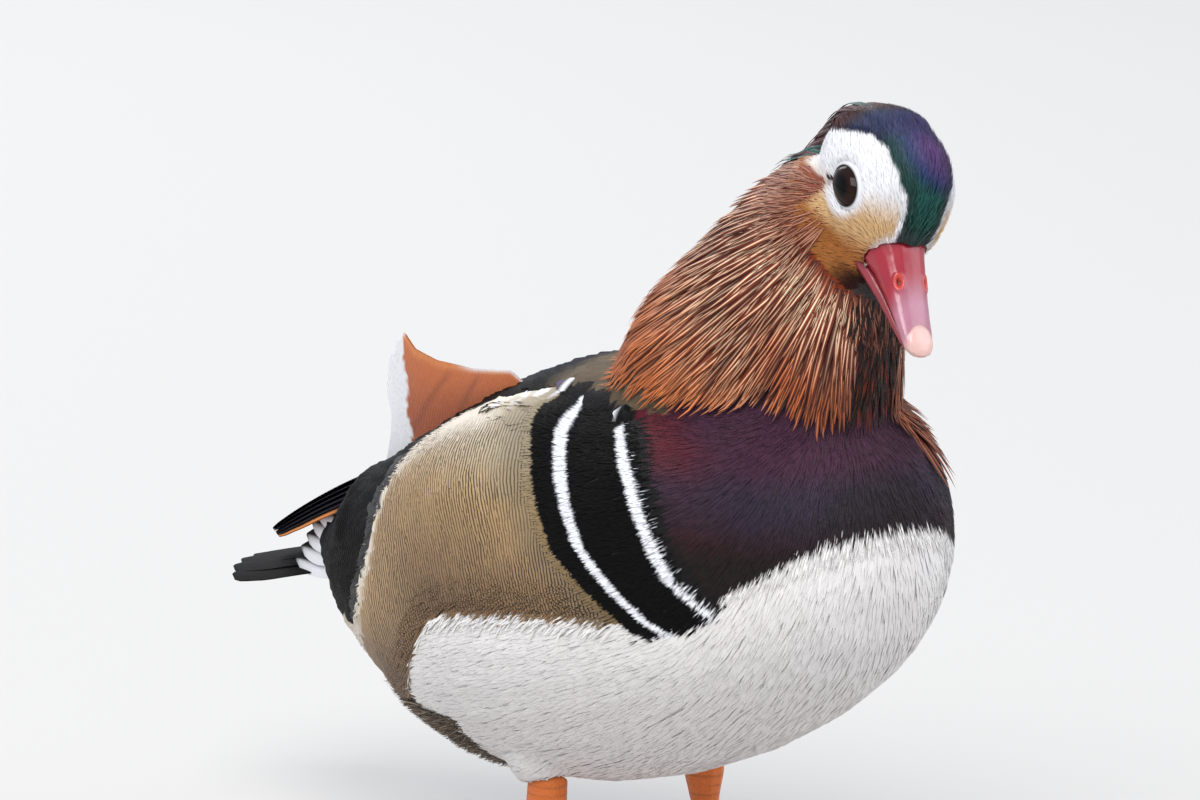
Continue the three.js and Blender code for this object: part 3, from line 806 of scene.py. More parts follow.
def wavy_material(name, roughness):
    made, nodes, links, shader = new_material(name, roughness, 0.3)
    shader.inputs["Sheen Weight"].default_value = 0.12
    turn = add(nodes, "Mapping", {"Rotation": (LINE_SLANT, 0, 0)})
    patches = add(nodes, "TexNoise", {"Scale": 45.0})
    set_on_object(nodes, links, turn, patches)
    waves = {"Scale": LINE_SCALE, "Distortion": 5.0, "Detail": 2.0, "Detail Scale": 0.5}
    lines = add(nodes, "TexWave", waves)
    lines.wave_type = "BANDS"
    lines.bands_direction = "Y"
    links.new(turn.outputs["Vector"], lines.inputs["Vector"])
    ramp = nodes.new("ShaderNodeValToRGB")
    dark, light = ramp.color_ramp.elements
    dark.position, dark.color = 0.22, LINE_DARK
    light.position, light.color = 0.55, (1, 1, 1, 1)
    links.new(lines.outputs["Fac"], ramp.inputs["Fac"])
    fade = maths(nodes, links, "MULTIPLY", read(nodes, "wavy").outputs["Fac"], patches.outputs["Fac"])
    boost = maths(nodes, links, "MULTIPLY", fade, 1.9)
    boost.node.use_clamp = True
    drawn = nodes.new("ShaderNodeMix")
    drawn.data_type = "RGBA"
    drawn.blend_type = "MULTIPLY"
    links.new(boost, drawn.inputs["Factor"])
    links.new(read(nodes, "markings").outputs["Color"], drawn.inputs["A"])
    links.new(ramp.outputs["Color"], drawn.inputs["B"])
    barbed(nodes, links, shader, drawn.outputs["Result"], 1.6, 0.07, 0.2)
    return made


# The wavy lines fade out on the pale upper edge and stop above the white belly.
def put_wavy(made):
    flat = np.empty(len(made.data.vertices) * 3)
    made.data.vertices.foreach_get("co", flat)
    p = flat.reshape(-1, 3) / MM + SHIFT
    inside = smooth_step(2, 12, flank_top(p[:, 1]) - p[:, 2]) * smooth_step(72, 46, p[:, 1])
    inside = (0.1 + 0.9 * inside) * smooth_step(0.5, 2.5, p[:, 2] - belly_line(p[:, 1]))
    layer = made.data.attributes.new("wavy", "FLOAT", "POINT")
    layer.data.foreach_set("value", inside.astype(np.float32))


wavy = wavy_material("flank", 0.6)
out, y, z = np.abs(face_middle[:, 0]), face_middle[:, 1], face_middle[:, 2]
above_belly = z - belly_line(y)
roots = scatter(zone["flank"] & body_part & (above_belly > 9), per_cm2=22)
flank = coat("coat_flank", wavy, roots, flank_flow, length=11.0, width=8.0, grid=(6, 4),
             heights=(0.2, 0.9), outline="vane", fan=2, arch=0.03, ragged=0.6, tone=0.04,
             painted_root_shade=0.05)
put_wavy(flank)
near_edge = (np.abs(flank_top(y) - z) < 9) & (y > 30)
roots = scatter(zone["flank"] & (near_edge | (above_belly < 12)) & body_part, per_cm2=100)
fringe = coat("coat_flank_fringe", wavy, roots, flank_flow, length=8.0, width=0.7, grid=(5, 2),
              heights=(0.3, 1.2), fan=10, ragged=1.8)
put_wavy(fringe)

# Back, rump and vent. Olive grey shoulder feathers, blue black ones on the back, black scapulars
# above each flank, and loose fluff behind the legs, dark brown partly of its own and partly as painted
# shade under the body.
VENT_DARK = paint(74, 62, 52)
VENT_FLUFF = paint(140, 122, 104)


def back_flow(p):
    return way(-0.18 * np.tanh(p[:, 0] / 8.0), 1, -0.42)


def even(tones, ts, s):
    return np.repeat(np.repeat(tones[:, None, None, :], len(ts), 1), len(s), 2)


# The fluff behind the legs is painted dark, partly its own colour and partly painted shade under the body,
# with some paler ones.
def vent_colours(count, ts, s, spots):
    pale = smooth_step(0.45, 1.0, dice.random(count))
    return even(mix(VENT_DARK, VENT_FLUFF, pale), ts, s)


glossy = feather_material("back", 0.6, 0.08, barbs=1.1, contrast=0.12, relief=0.3)
roots = scatter(zone["upper"] & body_part, per_cm2=13)
coat("coat_back", glossy, roots, back_flow, length=13.5, width=8.5, grid=(7, 4),
     heights=(0.2, 1.5), outline="vane", fan=5, arch=0.07, tone=0.12, painted_root_shade=0.3)
roots = scatter(zone["rear"] & body_part, per_cm2=40)
coat("coat_rump", glossy, roots, back_flow, length=9.5, width=1.4, grid=(5, 2),
     heights=(0.2, 1.9), fan=12, ragged=1.2, tone=0.15)
behind_legs = (y > 22) & (y < 64) & (z < 66) & (above_belly < 14) & (out > 16)
roots = scatter(behind_legs & body_part, per_cm2=90)
coat("coat_vent", downy, roots, body_flow, length=9.0, width=0.5, grid=(5, 2),
     heights=(0.3, 2.2), fan=18, tone=0.2, colours=vent_colours)

# Head. Velvet-short feathers on the face, pointing back from the bill, and a silky crown that
# shines green, blue and violet down to the maroon crest.
LID_RADIUS = 5.6


def head_flow(p):
    h = in_head(p)
    y, z = h[:, 1], h[:, 2]
    fore = smooth_step(-8, -18, y)
    rise = 0.35 - 1.0 * smooth_step(-2, -14, z) + 0.9 * fore * smooth_step(-6, 4, z)
    return way(0.25 * np.sign(h[:, 0]) * fore, 1, rise) @ HEAD_AXES.T


edge = crown_distance(middle_head)
out, y, z = np.abs(middle_head[:, 0]), middle_head[:, 1], middle_head[:, 2]
velvet = feather_material("face", 0.8, 0.15, barbs=1.5, contrast=0.08, relief=0.25, sheen=0.1)
silk = feather_material("crown", 0.38, 0.35, barbs=1.6, contrast=0.25, relief=0.35)
from_eye = np.abs(middle_head) - np.array([EYE_PLACE[0], 0, 0])
off_eye = np.linalg.norm(from_eye * np.array([0.6, 1, 1]), axis=1) > LID_RADIUS
off_bill = (y >= -17.5) | (z >= -1)
roots = scatter(is_head & (edge > -0.3) & off_eye & off_bill, per_cm2=330)
# No feather starts on a lid or lies over one.
ahead = roots + tangent(head_flow(roots), on_skin(roots)[1]) * 3.4
from_lid = [np.hypot(in_head(q)[:, 1] / 1.1, in_head(q)[:, 2]) for q in (roots, ahead)]
roots = roots[np.minimum(*from_lid) > LID_RADIUS]
coat("coat_face", velvet, roots, head_flow, length=3.0, width=0.42, grid=(3, 2),
     heights=(0.05, 0.75), ragged=0.3, tone=0.04)
roots = scatter(is_head & (edge <= 0.3), per_cm2=300)
coat("coat_crown", silk, roots, head_flow, length=5.2, width=0.5, grid=(4, 2),
     heights=(0.05, 1.1), fan=7, ragged=0.35, tone=0.22)

# Mane. Long pointed hackles that fan from the cheeks over the neck, rust red with pale shafts that
# turn golden towards the tips. Shorter ones cover the cheeks and the nape, and dark ones the throat.
HACKLE_DARK = paint(54, 20, 10)
HACKLE_RUST = paint(128, 48, 18)
HACKLE_GOLD = paint(190, 104, 46)
HACKLE_CREAM = paint(246, 218, 182)
HACKLE_ROSE = paint(140, 72, 52)
HACKLE_THROAT = paint(86, 30, 18)
HACKLE_BREAST = paint(92, 34, 16)
THROAT_DARK = paint(34, 16, 13)
THROAT_RED = paint(92, 34, 20)
MANE_ALONG = [0, 0.15, 0.5, 1.0]
MANE_LENGTHS = [14, 24, 34, 30]
MANE_SHORTEST = 8.0


def mane_flow(p):
    return unit(p - way(13.0 * np.tanh(p[:, 0] / 6.0), -121, 238))


def toward(first, second, amount):
    return first + (second - first) * amount[..., None]


def hackle_colours(count, ts, s, spots):
    along, away = on_mane(spots.reshape(-1, 3))
    along = along.reshape(count, -1)
    fore = spots[..., 1]
    golden = smooth_step(0.45, 1.0, ts)[None, :] * smooth_step(0.3, 0.9, along)
    rosy = smooth_step(0.3, 0.05, along) * smooth_step(-4, 8, away.reshape(count, -1, 3)[..., 1])
    front = smooth_step(12, 4, np.abs(spots[..., 0])) * smooth_step(-90, -104, fore)
    low_front = smooth_step(-76, -98, fore) * smooth_step(0.3, 0.55, along)
    body = toward(toward(HACKLE_RUST, HACKLE_GOLD, golden), HACKLE_ROSE, rosy)
    body = toward(toward(body, HACKLE_THROAT, 0.8 * front), HACKLE_BREAST, 0.7 * low_front)
    shaft = toward(HACKLE_CREAM, HACKLE_GOLD, np.maximum(smooth_step(0.45, 0.95, along), low_front))
    keep = (1 - 0.85 * front) * (0.3 + 0.7 * smooth_step(0.1, 0.3, along))
    middle = toward(body, shaft, keep * smooth_step(0.05, 0.3, ts)[None, :])
    rim = body + (HACKLE_DARK - body) * 0.78
    grid = np.empty((count, len(ts), len(s), 3))
    for k, across in enumerate(np.abs(s)):
        vein = middle + (body - middle) * smooth_step(0.0, 0.3, across)
        grid[:, :, k] = vein + (rim - vein) * smooth_step(0.2, 0.95, across)
    return grid


hackled = feather_material("mane", 0.5, 0.35, barbs=0.0, contrast=0.16, relief=0.3)
mane_along = on_mane(face_middle)[0]
throat_zone = is_mane & (np.abs(face_middle[:, 0]) < 9) & (face_middle[:, 1] < -95)
roots = scatter(is_mane & ~throat_zone, per_cm2=19.4)
# Each lock is shortened until its tip lies above the hem.
size = np.interp(on_mane(roots)[0], MANE_ALONG, MANE_LENGTHS)
for attempt in range(14):
    tip = roots + tangent(mane_flow(roots), on_skin(roots)[1]) * size[:, None] * 1.05
    too_low = on_mane(tip)[0] > mane_end(tip) + 0.02 * dice.normal(size=len(size))
    size = np.where(too_low, size * 0.93, size)
roots, size = roots[size > MANE_SHORTEST], size[size > MANE_SHORTEST]
coat("coat_mane", hackled, roots, mane_flow, size, width=2.0, grid=(8, 6), heights=(0.3, 2.6),
     outline="hackle", fan=3.5, arch=0.16, ragged=0, tone=0.26, float_up=3.0, colours=hackle_colours,
     memory=0.35, painted_root_shade=0.35)
roots = scatter(is_head & (y > -2) & (z < -12) & (edge > 2), per_cm2=60)
coat("coat_cheek", hackled, roots, mane_flow, length=12.0, width=1.2, grid=(6, 4),
     heights=(0.2, 1.4), outline="hackle", fan=5, arch=0.16, ragged=0, tone=0.12, float_up=0.5,
     colours=hackle_colours, memory=0.3, painted_root_shade=0.2)
near_head = is_mane & (head_reach(middle_head) < 38) & (mane_along < 0.36)
behind_patch = is_head & (y > 4) & (z < -5.5 - 0.72 * (y - 4.9))
roots = scatter(near_head | behind_patch, per_cm2=85)
coat("coat_collar", hackled, roots, mane_flow, length=8.5, width=0.8, grid=(5, 4),
     heights=(0.1, 1.2), outline="hackle", arch=0.14, ragged=0, tone=0.2, float_up=0.4,
     colours=hackle_colours, memory=0.3, painted_root_shade=0.2)


def crest_flow(p):
    return way(-0.3 * np.sign(in_head(p)[:, 0]), 0.5, -1) @ HEAD_AXES.T


def crest_colours(count, ts, s, spots):
    green = (dice.random(count) > 0.75) * 1.0
    start = mix(CREST_MAROON, CROWN_GREEN * 0.6, green)
    return even(start, ts, s) * (0.8 + 0.5 * np.sin(3 * ts))[None, :, None, None]


# The throat hackles are dark: partly their own colour, partly painted shade under the bill.
def throat_colours(count, ts, s, spots):
    red = (dice.random(count) > 0.78) * 1.0
    return even(mix(THROAT_DARK, THROAT_RED, red), ts, s)


roots = scatter((out < 9) & (y > 16) & (z > -22) & (z < 12), per_cm2=34)
coat("coat_crest", silk, roots, crest_flow, length=24.0, width=1.8, grid=(8, 4),
     heights=(0.8, 3.4), outline="hackle", fan=4, arch=0.14, ragged=0, tone=0.15, float_up=2.0,
     colours=crest_colours, memory=0.4, painted_root_shade=0.2)
roots = scatter(throat_zone, per_cm2=60)
coat("coat_throat", soft, roots, body_flow, length=11.0, width=1.1, grid=(5, 2),
     heights=(0.2, 1.6), outline="hackle", fan=5, arch=0.1, ragged=0, tone=0.2, float_up=1.0,
     colours=throat_colours)

# Eyes. Nearly black brown balls with a wet gloss, set in thin rolled lids, dark inside and white
# outside. Each sits as deep in the head as a duck's, so that only its front shows.
EYE_RADII = np.array([4.8, 6.8, 5.5])
EYE_BROWN = paint(34, 18, 14)
PUPIL = paint(6, 5, 6)
EYE_RIM = paint(8, 6, 6)
LID_DARK = paint(26, 19, 18)
LID_Y = 6.1
LID_Z = 4.95
LID_REACH = [0.97, 1.0, 1.04, 1.09, 1.17, 1.28]
LID_LIFT = [0.1, 0.32, 0.34, 0.12, -0.3, -1.1]


def ring_faces(levels, segments):
    around = [(j, (j + 1) % segments) for j in range(segments)]
    starts = [i * segments for i in range(levels)]
    return [(i + j, i + k, i + segments + k, i + segments + j) for i in starts for j, k in around]


def ball(rings, segments):
    a = np.repeat(math.pi * np.arange(rings + 1) / rings, segments)
    b = np.tile(2 * math.pi * np.arange(segments) / segments, rings + 1)
    return np.stack([np.cos(a), np.sin(a) * np.cos(b), np.sin(a) * np.sin(b)], 1)


wet, nodes, links, shader = new_material("eye", 0.04, 0.14)
links.new(read(nodes, "markings").outputs["Color"], shader.inputs["Base Color"])
for name, side in (("right", -1), ("left", 1)):
    mirror = np.array([side, 1, 1])
    points = ball(28, 40)
    from_axis = np.linalg.norm(points[:, 1:], axis=1)
    points = from_head((points * EYE_RADII + EYE_PLACE) * mirror)
    eye = object_from("eyeball_" + name, points, [f[::side] for f in ring_faces(28, 40)])
    shade_smooth(eye)
    tone = mix(PUPIL, EYE_BROWN, smooth_step(0.45, 0.62, from_axis))
    put_colours(eye, mix(tone, EYE_RIM, smooth_step(0.8, 0.95, from_axis)))
    dress(eye, wet)
    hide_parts("eye_" + name)
    turns = np.linspace(0, 2 * math.pi, 49)[:-1]
    y, z = LID_Y * np.cos(turns), LID_Z * np.sin(turns)
    ring = []
    for reach, lift in zip(LID_REACH, LID_LIFT):
        inner = min(reach, 1.02)
        beyond = 1 - (y * inner / EYE_RADII[1]) ** 2 - (z * inner / EYE_RADII[2]) ** 2
        on_ball = EYE_RADII[0] * np.sqrt(np.clip(beyond, 0, 1))
        ring.append(np.stack([side * (EYE_PLACE[0] + on_ball + lift), y * reach, z * reach], 1))
    points = from_head(np.concatenate(ring))
    faces = ring_faces(len(ring) - 1, len(turns))
    lid = object_from("lid_" + name, points, [f[::-side] for f in faces])
    shade_smooth(lid)
    level = np.repeat(np.arange(len(ring)), len(turns))
    tone = mix(LID_DARK, FACE_WHITE * 0.8, smooth_step(1.0, 3.2, level))
    put_colours(lid, tone)
    put_uv(lid, unwrap(points)[corner_vertices(lid)])
    dress(lid, velvet)

# Bill. Smooth crimson horn that turns mauve pink along the ridge and ends in a pale pink nail, with
# an oval nostril on each side, pressed in and painted dark inside as painted shade. The lower bill is a
# duller red and shows only at the edge.
CRIMSON = paint(166, 30, 50)
MAUVE = paint(184, 122, 142)
NAIL = paint(234, 190, 182)
LOWER_RED = paint(150, 50, 62)
NOSTRIL_RED = paint(214, 74, 54)
NOSTRIL_PAINTED_SHADE = paint(70, 8, 8)
NOSTRIL = np.array([4.5, -27.0, -6.8])
NOSTRIL_WAY = unit(np.array([0.0, -1.0, -0.42]))
NOSTRIL_HALF = (1.7, 1.0)
NAIL_HALF = (4.3, 4.6)
BILL_VOXEL = 0.42


def horn_material(name):
    made, nodes, links, shader = new_material(name, 0.3, 0.5)
    shader.inputs["Coat Weight"].default_value = 0.25
    shader.inputs["Coat Roughness"].default_value = 0.2
    shader.inputs["Subsurface Weight"].default_value = 0.12
    shader.inputs["Subsurface Radius"].default_value = (0.002, 0.0008, 0.0006)
    grain = add(nodes, "TexNoise", {"Scale": 420.0})
    cloud = add(nodes, "TexNoise", {"Scale": 160.0})
    set_on_object(nodes, links, grain, cloud)
    bump = add(nodes, "Bump", {"Strength": 0.25, "Distance": 0.0005})
    links.new(grain.outputs["Fac"], bump.inputs["Height"])
    links.new(bump.outputs["Normal"], shader.inputs["Normal"])
    tint = nodes.new("ShaderNodeMix")
    tint.data_type = "RGBA"
    tint.blend_type = "MULTIPLY"
    tint.inputs["Factor"].default_value = 0.35
    links.new(read(nodes, "markings").outputs["Color"], tint.inputs["A"])
    links.new(cloud.outputs["Fac"], tint.inputs["B"])
    links.new(tint.outputs["Result"], shader.inputs["Base Color"])
    return made


def bill_colours(y, z, oval, nail):
    run = (-19 - y) / 26.0
    down = z + 11 * np.clip(run, 0, 1)
    mauve = smooth_step(0.16, 0.55, run - 0.28 * smooth_step(-1, -9, down))
    edge = smooth_step(-11.5, -14, z - 0.5 * np.clip(run, 0, 1)) * smooth_step(0.8, 0.6, run)
    colour = mix(CRIMSON, MAUVE, mauve)
    colour = mix(colour, CRIMSON, 0.55 * edge)
    colour = mix(colour, NAIL, smooth_step(1.08, 0.9, nail) * (z > -15.5))
    colour = mix(colour, NAIL, 0.6 * smooth_step(0.82, 1.0, run))
    colour = mix(colour, NOSTRIL_RED, 0.8 * smooth_step(1.7, 1.2, oval))
    # The middle of the nostril is painted dark: painted shade in its hollow.
    return mix(colour, NOSTRIL_PAINTED_SHADE, smooth_step(0.75, 0.3, oval))


horn = horn_material("bill")
for part in ("upper", "lower"):
    points, normals, faces = melted("bill_" + part, ["bill_" + part], 0.05, BILL_VOXEL, 5)
    h = in_head(points)
    h[:, 0] = np.abs(h[:, 0])
    x, y, z = h.T
    colour = np.tile(LOWER_RED, (len(h), 1))
    if part == "upper":
        along = (h - NOSTRIL) @ NOSTRIL_WAY
        across = np.linalg.norm(h - NOSTRIL - along[:, None] * NOSTRIL_WAY, axis=1)
        oval = np.hypot(along / NOSTRIL_HALF[0], across / NOSTRIL_HALF[1])
        nail = np.hypot((y + 43.5) / NAIL_HALF[1], x / NAIL_HALF[0])
        # The nostril is pressed in, its rim and the nail are raised.
        push = -1.1 * smooth_step(1.0, 0.35, oval) + 0.38 * np.exp(-(((oval - 1.35) / 0.35) ** 2))
        push += 0.45 * smooth_step(1.05, 0.8, nail) * (z > -14)
        points = points + normals * push[:, None]
        colour = bill_colours(y, z, oval, nail)
    bill = object_from("horn_" + part, points, faces)
    shade_smooth(bill)
    put_colours(bill, colour)
    put_uv(bill, unwrap(points)[corner_vertices(bill)])
    dress(bill, horn)
    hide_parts("bill_" + part)

# Wing tips and tail. Long single feathers: six primaries a side that close over the rump, the
# outermost edged with buff, and a dark tail of rounded feathers fanned a little.
QUILL_DARK = paint(20, 19, 28)
QUILL_BUFF = paint(200, 126, 72)
TAIL_DARK = paint(17, 14, 14)
TAIL_ROOT = np.array([0.0, 104.0, 99.0])
TAIL_LENGTH = 78.0
TAIL_FAN = 11.0
TAIL_DROOP = math.radians(14.0)
BLADE_THICKNESS = 0.32
SHAFT_HEIGHT = 0.25


# Feathers with a raised shaft and an upper and a lower face, from start to end, `sag` high midway.
def blades(name, starts, ends, up_ways, width, sag, grid, tints, side=1, arch=0.1):
    rows, across = grid
    ts = np.linspace(0, 1, rows + 1)
    s = np.linspace(-1, 1, across + 1)
    chord = ends - starts
    length = np.linalg.norm(chord, axis=1)
    centre = starts[:, None, :] + chord[:, None, :] * ts[None, :, None]
    centre[..., 2] += sag * 4 * ts * (1 - ts)
    course = unit(np.gradient(centre, axis=1))
    up = up_ways[:, None, :]
    up = unit(up - (up * course).sum(-1, keepdims=True) * course)[:, :, None]
    half = 0.5 * width * np.interp(ts, *OUTLINES["vane"])[:, None]
    spread = (half * s)[None, :, :, None]
    drop = arch * 2 * half * s**2
    ridge = SHAFT_HEIGHT * smooth_step(0.2, 0.0, np.abs(s)) * (1 - ts[:, None])
    points = centre[:, :, None] + np.cross(course, up[:, :, 0])[:, :, None] * spread
    points = points + up * (ridge - drop)[None, :, :, None]
    tint = tints(len(starts), ts, s * side)
    under = (points - up * BLADE_THICKNESS)[:, :, ::-1]
    top = raise_mesh(name, points, tint, starts, ts, s, length)
    # The lower face takes the upper face's colours painted darker, as painted shade on the underside.
    low = raise_mesh(name + "_under", under, tint[:, :, ::-1] * 0.8, starts, ts, s, length)
    bpy.ops.object.select_all(action="DESELECT")
    top.select_set(True)
    low.select_set(True)
    bpy.context.view_layer.objects.active = top
    bpy.ops.object.join()
    return top


def primary_tints(count, ts, s):
    grid = np.tile(QUILL_DARK, (count, len(ts), len(s), 1))
    for k, across in enumerate(s):
        buff = smooth_step(0.35, 0.5, ts) * smooth_step(-0.5, -0.1, across)
        grid[-1, :, k] = mix(grid[-1, :, k], QUILL_BUFF, buff)
    return grid * (0.9 + 0.2 * (np.arange(count) % 2))[:, None, None, None]


def tail_tints(count, ts, s):
    darker = 1 - 0.35 * smooth_step(0.6, 1.0, ts)
    return np.tile(TAIL_DARK, (count, len(ts), len(s), 1)) * darker[None, :, None, None]


quill = feather_material("quill", 0.6, 0.06, barbs=1.5, contrast=0.18, relief=0.4)
for name, side in (("right", -1), ("left", 1)):
    step = np.arange(6)
    starts = way(side * (28.0 + 1.2 * step), 70 - 1.0 * step, 132 - 1.2 * step)
    ends = way(side * (9.5 + 1.2 * step), 160 - 2.0 * step, 92.5 + 0.3 * step)
    up_ways = way(side * (0.08 + 0.07 * step), 0 * step, 1 - 0.05 * step)
    tips = blades("primaries_" + name, starts, ends, up_ways, 12.0, 2.0, (22, 6), primary_tints, side)
    dress(tips, quill)
fan = np.array([-1, 1, -0.7, 0.7, -0.4, 0.4, -0.12, 0.12])
length = TAIL_LENGTH * (1 - 0.16 * fan**2)
swing = np.radians(TAIL_FAN) * fan
starts = TAIL_ROOT + way(fan * 8, 0, -4.0 * fan**2)
course = way(np.sin(swing), np.cos(swing) * math.cos(TAIL_DROOP), -math.sin(TAIL_DROOP))
tail = blades("tail_feathers", starts, starts + course * length[:, None], way(0.35 * fan, 0.2, 1.0),
              16.0, 0.5, (18, 6), tail_tints, arch=0.06)
dress(tail, quill)
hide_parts("tail")

# Rump stripes. Short curved feathers at the side of the tail, black with broad white ends, five a
# side in a fan.
STRIPE_WHITE = paint(232, 232, 236)


def stripe_tints(count, ts, s):
    grid = np.tile(BLACK, (count, len(ts), len(s), 1))
    white = smooth_step(0.28, 0.4, ts) * smooth_step(0.98, 0.9, ts)
    for k, across in enumerate(s):
        grid[:, :, k] = mix(grid[0, :, k], STRIPE_WHITE, white * smooth_step(-0.25, 0.1, across))
    return grid


for name, side in (("right", -1), ("left", 1)):
    step = np.arange(5)
    starts = way(side * (30.0 - 1.6 * step), 98 + 1.2 * step, 110 - 4.2 * step)
    ends = way(side * (21.5 - 1.0 * step), 122 + 4.2 * step, 106.5 - 4.6 * step)
    up_ways = way(side * 1.0, 0.3, 0.25 + 0 * step)
    stripes = blades("rump_stripes_" + name, starts, ends, up_ways, 7.0, -1.5, (12, 6), stripe_tints, side)
    dress(stripes, velvet)

# Sails. One very broad orange feather on each side of the back that stands on edge, with a bright
# upper rim, fine slanting barbs and a frayed white hind margin. The left one leans lower.
SAIL_ORANGE = paint(196, 108, 60)
SAIL_DEEP = paint(158, 78, 48)
SAIL_BRIGHT = paint(226, 146, 84)
SAIL_RIB = paint(112, 54, 36)
SAIL_WHITE = paint(238, 238, 242)
SAIL_GRID = (64, 26)
SAIL_REAR = 88.0
SAIL_THICKNESS = 0.5
SAIL_TOP_Y = [20, 27, 45, 60, 70, 75.5, 77, 80, 81.5, 84.5, 88]
SAIL_TOP = [160, 164.5, 162.5, 162.5, 164.5, 169, 165.5, 165, 161, 159.5, 150]
SAIL_LOW_Y = [20, 50, 70, 88]
SAIL_LOW = [150, 138, 128, 120]
SAILS = {
    "right": {"x": 19.0, "shift": 0.0, "drop": 0.0, "lean": 0.10, "start": 20.0, "rise": 1.0},
    "left": {"x": 18.0, "shift": 12.0, "drop": 25.0, "lean": 0.18, "start": 40.0, "rise": 0.2},
}


def sail_tints(u, v):
    tone = mix(SAIL_ORANGE, SAIL_DEEP, 0.75 * smooth_step(0.9, 0.35, v))
    tone = mix(tone, SAIL_BRIGHT, 0.6 * smooth_step(0.9, 0.97, v))
    tone = mix(tone, SAIL_DEEP, 0.12 * (0.5 + 0.5 * np.sin(150 * u + 40 * v)))
    for lean, place in ((0.5, 0.95), (0.35, 0.62)):
        rib = smooth_step(0.035, 0.0, np.abs(u - place + lean * v))
        tone = mix(tone, SAIL_RIB, 0.45 * rib * smooth_step(0.97, 0.8, v))
    margin = 0.82 + 0.012 * np.sin(v * 17) + 0.006 * np.sin(v * 61)
    tone = mix(tone, SAIL_WHITE, smooth_step(-0.006, 0.006, u - margin))
    return mix(tone, SAIL_WHITE, smooth_step(0.955, 0.975, v) * smooth_step(0.5, 0.3, u))


def sail_piece(name, side, facts):
    cols, rows = SAIL_GRID
    u = np.linspace(0, 1, cols + 1)[:, None]
    v = np.linspace(0, 1, rows + 1)[None, :]
    y = facts["start"] + (SAIL_REAR - facts["start"]) * u
    low = np.interp(y, SAIL_LOW_Y, SAIL_LOW)
    height = (np.interp(y, SAIL_TOP_Y, SAIL_TOP) - low) * np.interp(u, [0, 0.45], [facts["rise"], 1.0]) * v
    frayed = (0.5 * np.sin(u * 61) + 0.35 * np.sin(u * 143 + 1)) * smooth_step(0.75, 0.95, u)
    height = height + frayed * v**4
    wave = 1.3 * np.sin(6 * v + 1) * smooth_step(0.8, 1.0, u)
    bulge = 2.6 * np.sin(math.pi * u) * np.sin(math.pi * 0.5 * v) + 0.5 * np.sin(10 * u) * v
    grid_x = side * (facts["x"] + bulge + facts["lean"] * height)
    grid_y = y - 4 * (v - 0.5) * u**2 + wave + facts["shift"]
    points = np.stack([grid_x, grid_y, low + height - facts["drop"]], -1)
    colour = sail_tints(np.repeat(u, rows + 1), np.tile(v[0], cols + 1)).reshape(cols + 1, rows + 1, 3)
    both = np.stack([points, points - np.array([side * SAIL_THICKNESS, 0, 0])])
    if side > 0:
        both = both[:, :, ::-1]
        colour = colour[:, ::-1]
    both[1] = both[1, ::-1]
    tints = np.stack([colour, colour[::-1]])
    roots = np.array([[side * 20.0, 40.0, 150.0], [side * 20.0, 60.0, 145.0]])
    s = np.linspace(-1, 1, rows + 1)
    return raise_mesh("sail_vane_" + name, both, tints, roots, u[:, 0], s, np.array([68.0, 68.0]))


sail_material = feather_material("sail", 0.55, 0.3, barbs=1.3, contrast=0.10, relief=0.4, sheen=0.1)
for name, side in (("right", -1), ("left", 1)):
    vane = sail_piece(name, side, SAILS[name])
    dress(vane, sail_material)
    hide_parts("sail_" + name)

# Claws. Short curved hooks of dark horn that grow from the ends of the toes, four on each foot. They
# are kept as the solids have them.
def mottled(name, roughness, specular, scale, first, second):
    made, nodes, links, shader = new_material(name, roughness, specular)
    growth = add(nodes, "TexNoise", {"Scale": scale})
    tint = nodes.new("ShaderNodeMix")
    tint.data_type = "RGBA"
    tint.inputs["A"].default_value = (*first, 1)
    tint.inputs["B"].default_value = (*second, 1)
    links.new(growth.outputs["Fac"], tint.inputs["Factor"])
    links.new(tint.outputs["Result"], shader.inputs["Base Color"])
    return made


claw_horn = mottled("claw", 0.35, 0.5, 500.0, paint(58, 42, 34), paint(96, 74, 60))
for side in ("right", "left"):
    for toe in ("inner", "middle", "outer", "hind"):
        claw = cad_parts["claw_" + toe + "_" + side]
        claw.data.materials.clear()
        claw.data.materials.append(claw_horn)

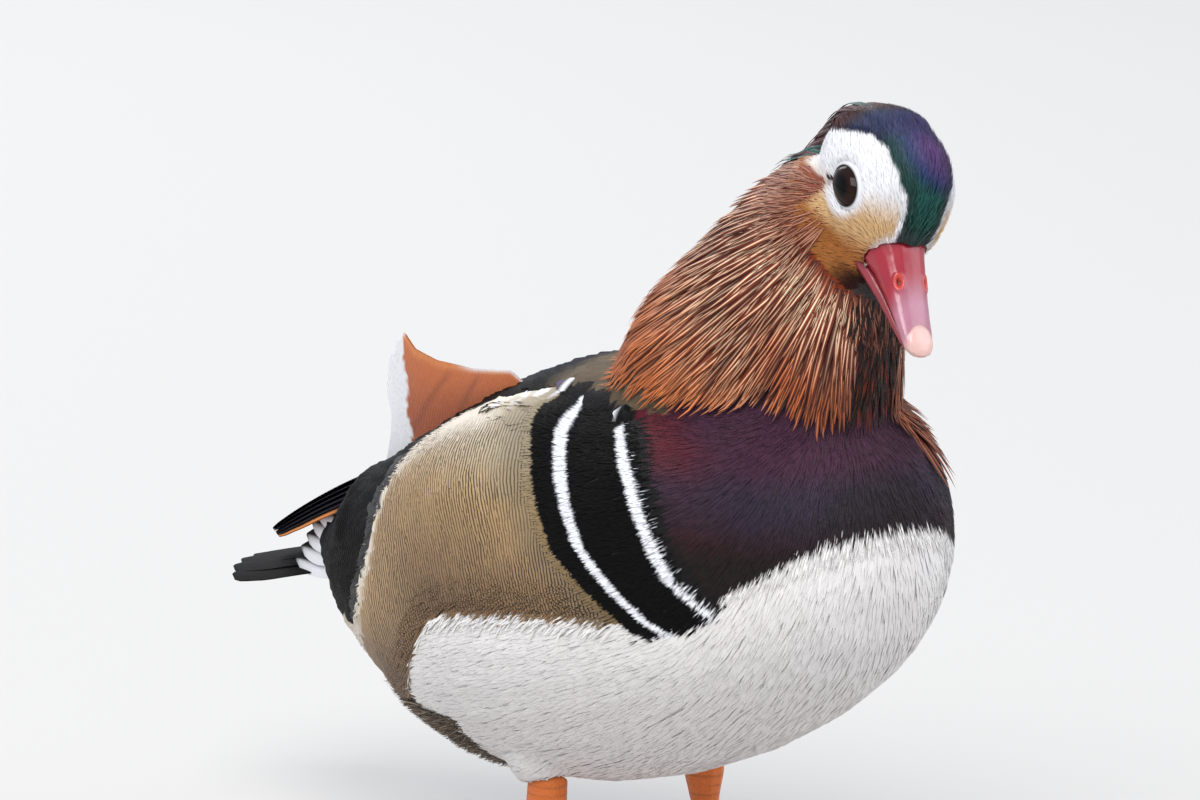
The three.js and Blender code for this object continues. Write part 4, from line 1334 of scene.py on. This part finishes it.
# Floor, light and camera: a plain pale floor, three soft lamps under a pale sky, and the photograph's
# long low view. The plain view transform keeps the plumage's blacks and whites.
FLOOR = paint(205, 203, 200)
FLOOR_REACH = 9.0
SKY = (0.86, 0.91, 1.0, 1)
SKY_STRENGTH = 0.8
VIEW_TARGET = np.array([8.1, 23.5, 152.5])
VIEW_AZIMUTH = math.radians(-38.0)
VIEW_ELEVATION = math.radians(12.0)
VIEW_DISTANCE = 2600.0
PIXELS_PER_MM = 3.45
PHOTO_WIDTH = 1200
SENSOR_WIDTH = 36.0
LAMP_TARGET = Vector((0, 0, 0.14))
LAMPS = {
    "key": {"place": (-1.5, -1.3, 2.2), "size": 1.6, "power": 62.0, "colour": (1.0, 0.98, 0.95)},
    "fill": {"place": (1.9, -1.6, 1.3), "size": 1.8, "power": 20.0, "colour": (0.93, 0.96, 1.0)},
    "rim": {"place": (0.6, 2.0, 1.9), "size": 1.4, "power": 32.0, "colour": (1.0, 1.0, 1.0)},
}


def set_up(name, data, place, towards):
    held = bpy.data.objects.new(name, data)
    held.location = place
    held.rotation_euler = towards.to_track_quat("-Z", "Y").to_euler()
    bpy.context.scene.collection.objects.link(held)
    return held


floor_mesh = bpy.data.meshes.new("floor")
corners = [(x * FLOOR_REACH, y * FLOOR_REACH, 0) for x, y in ((-1, -1), (1, -1), (1, 1), (-1, 1))]
floor_mesh.from_pydata(corners, [], [(0, 1, 2, 3)])
floor_mesh.materials.append(mottled("floor", 0.85, 0.2, 3.0, FLOOR, FLOOR * 0.94))
floor_piece = bpy.data.objects.new("floor", floor_mesh)
bpy.context.scene.collection.objects.link(floor_piece)
bpy.context.scene.view_settings.view_transform = "Standard"
world = bpy.data.worlds.new("studio")
world.use_nodes = True
world.node_tree.nodes["Background"].inputs["Color"].default_value = SKY
world.node_tree.nodes["Background"].inputs["Strength"].default_value = SKY_STRENGTH
bpy.context.scene.world = world
for name, facts in LAMPS.items():
    lamp = bpy.data.lights.new(name, "AREA")
    lamp.size = facts["size"]
    lamp.energy = facts["power"]
    lamp.color = facts["colour"]
    set_up(name, lamp, facts["place"], LAMP_TARGET - Vector(facts["place"]))
level = np.array([math.sin(VIEW_AZIMUTH), -math.cos(VIEW_AZIMUTH), 0]) * math.cos(VIEW_ELEVATION)
towards = level + np.array([0, 0, math.sin(VIEW_ELEVATION)])
view = bpy.data.cameras.new("photo")
view.sensor_width = SENSOR_WIDTH
view.lens = SENSOR_WIDTH * PIXELS_PER_MM * VIEW_DISTANCE / PHOTO_WIDTH
view.clip_end = 30.0
stand = (VIEW_TARGET - SHIFT + towards * VIEW_DISTANCE) * MM
bpy.context.scene.camera = set_up("photo", view, Vector(stand), Vector(-towards))
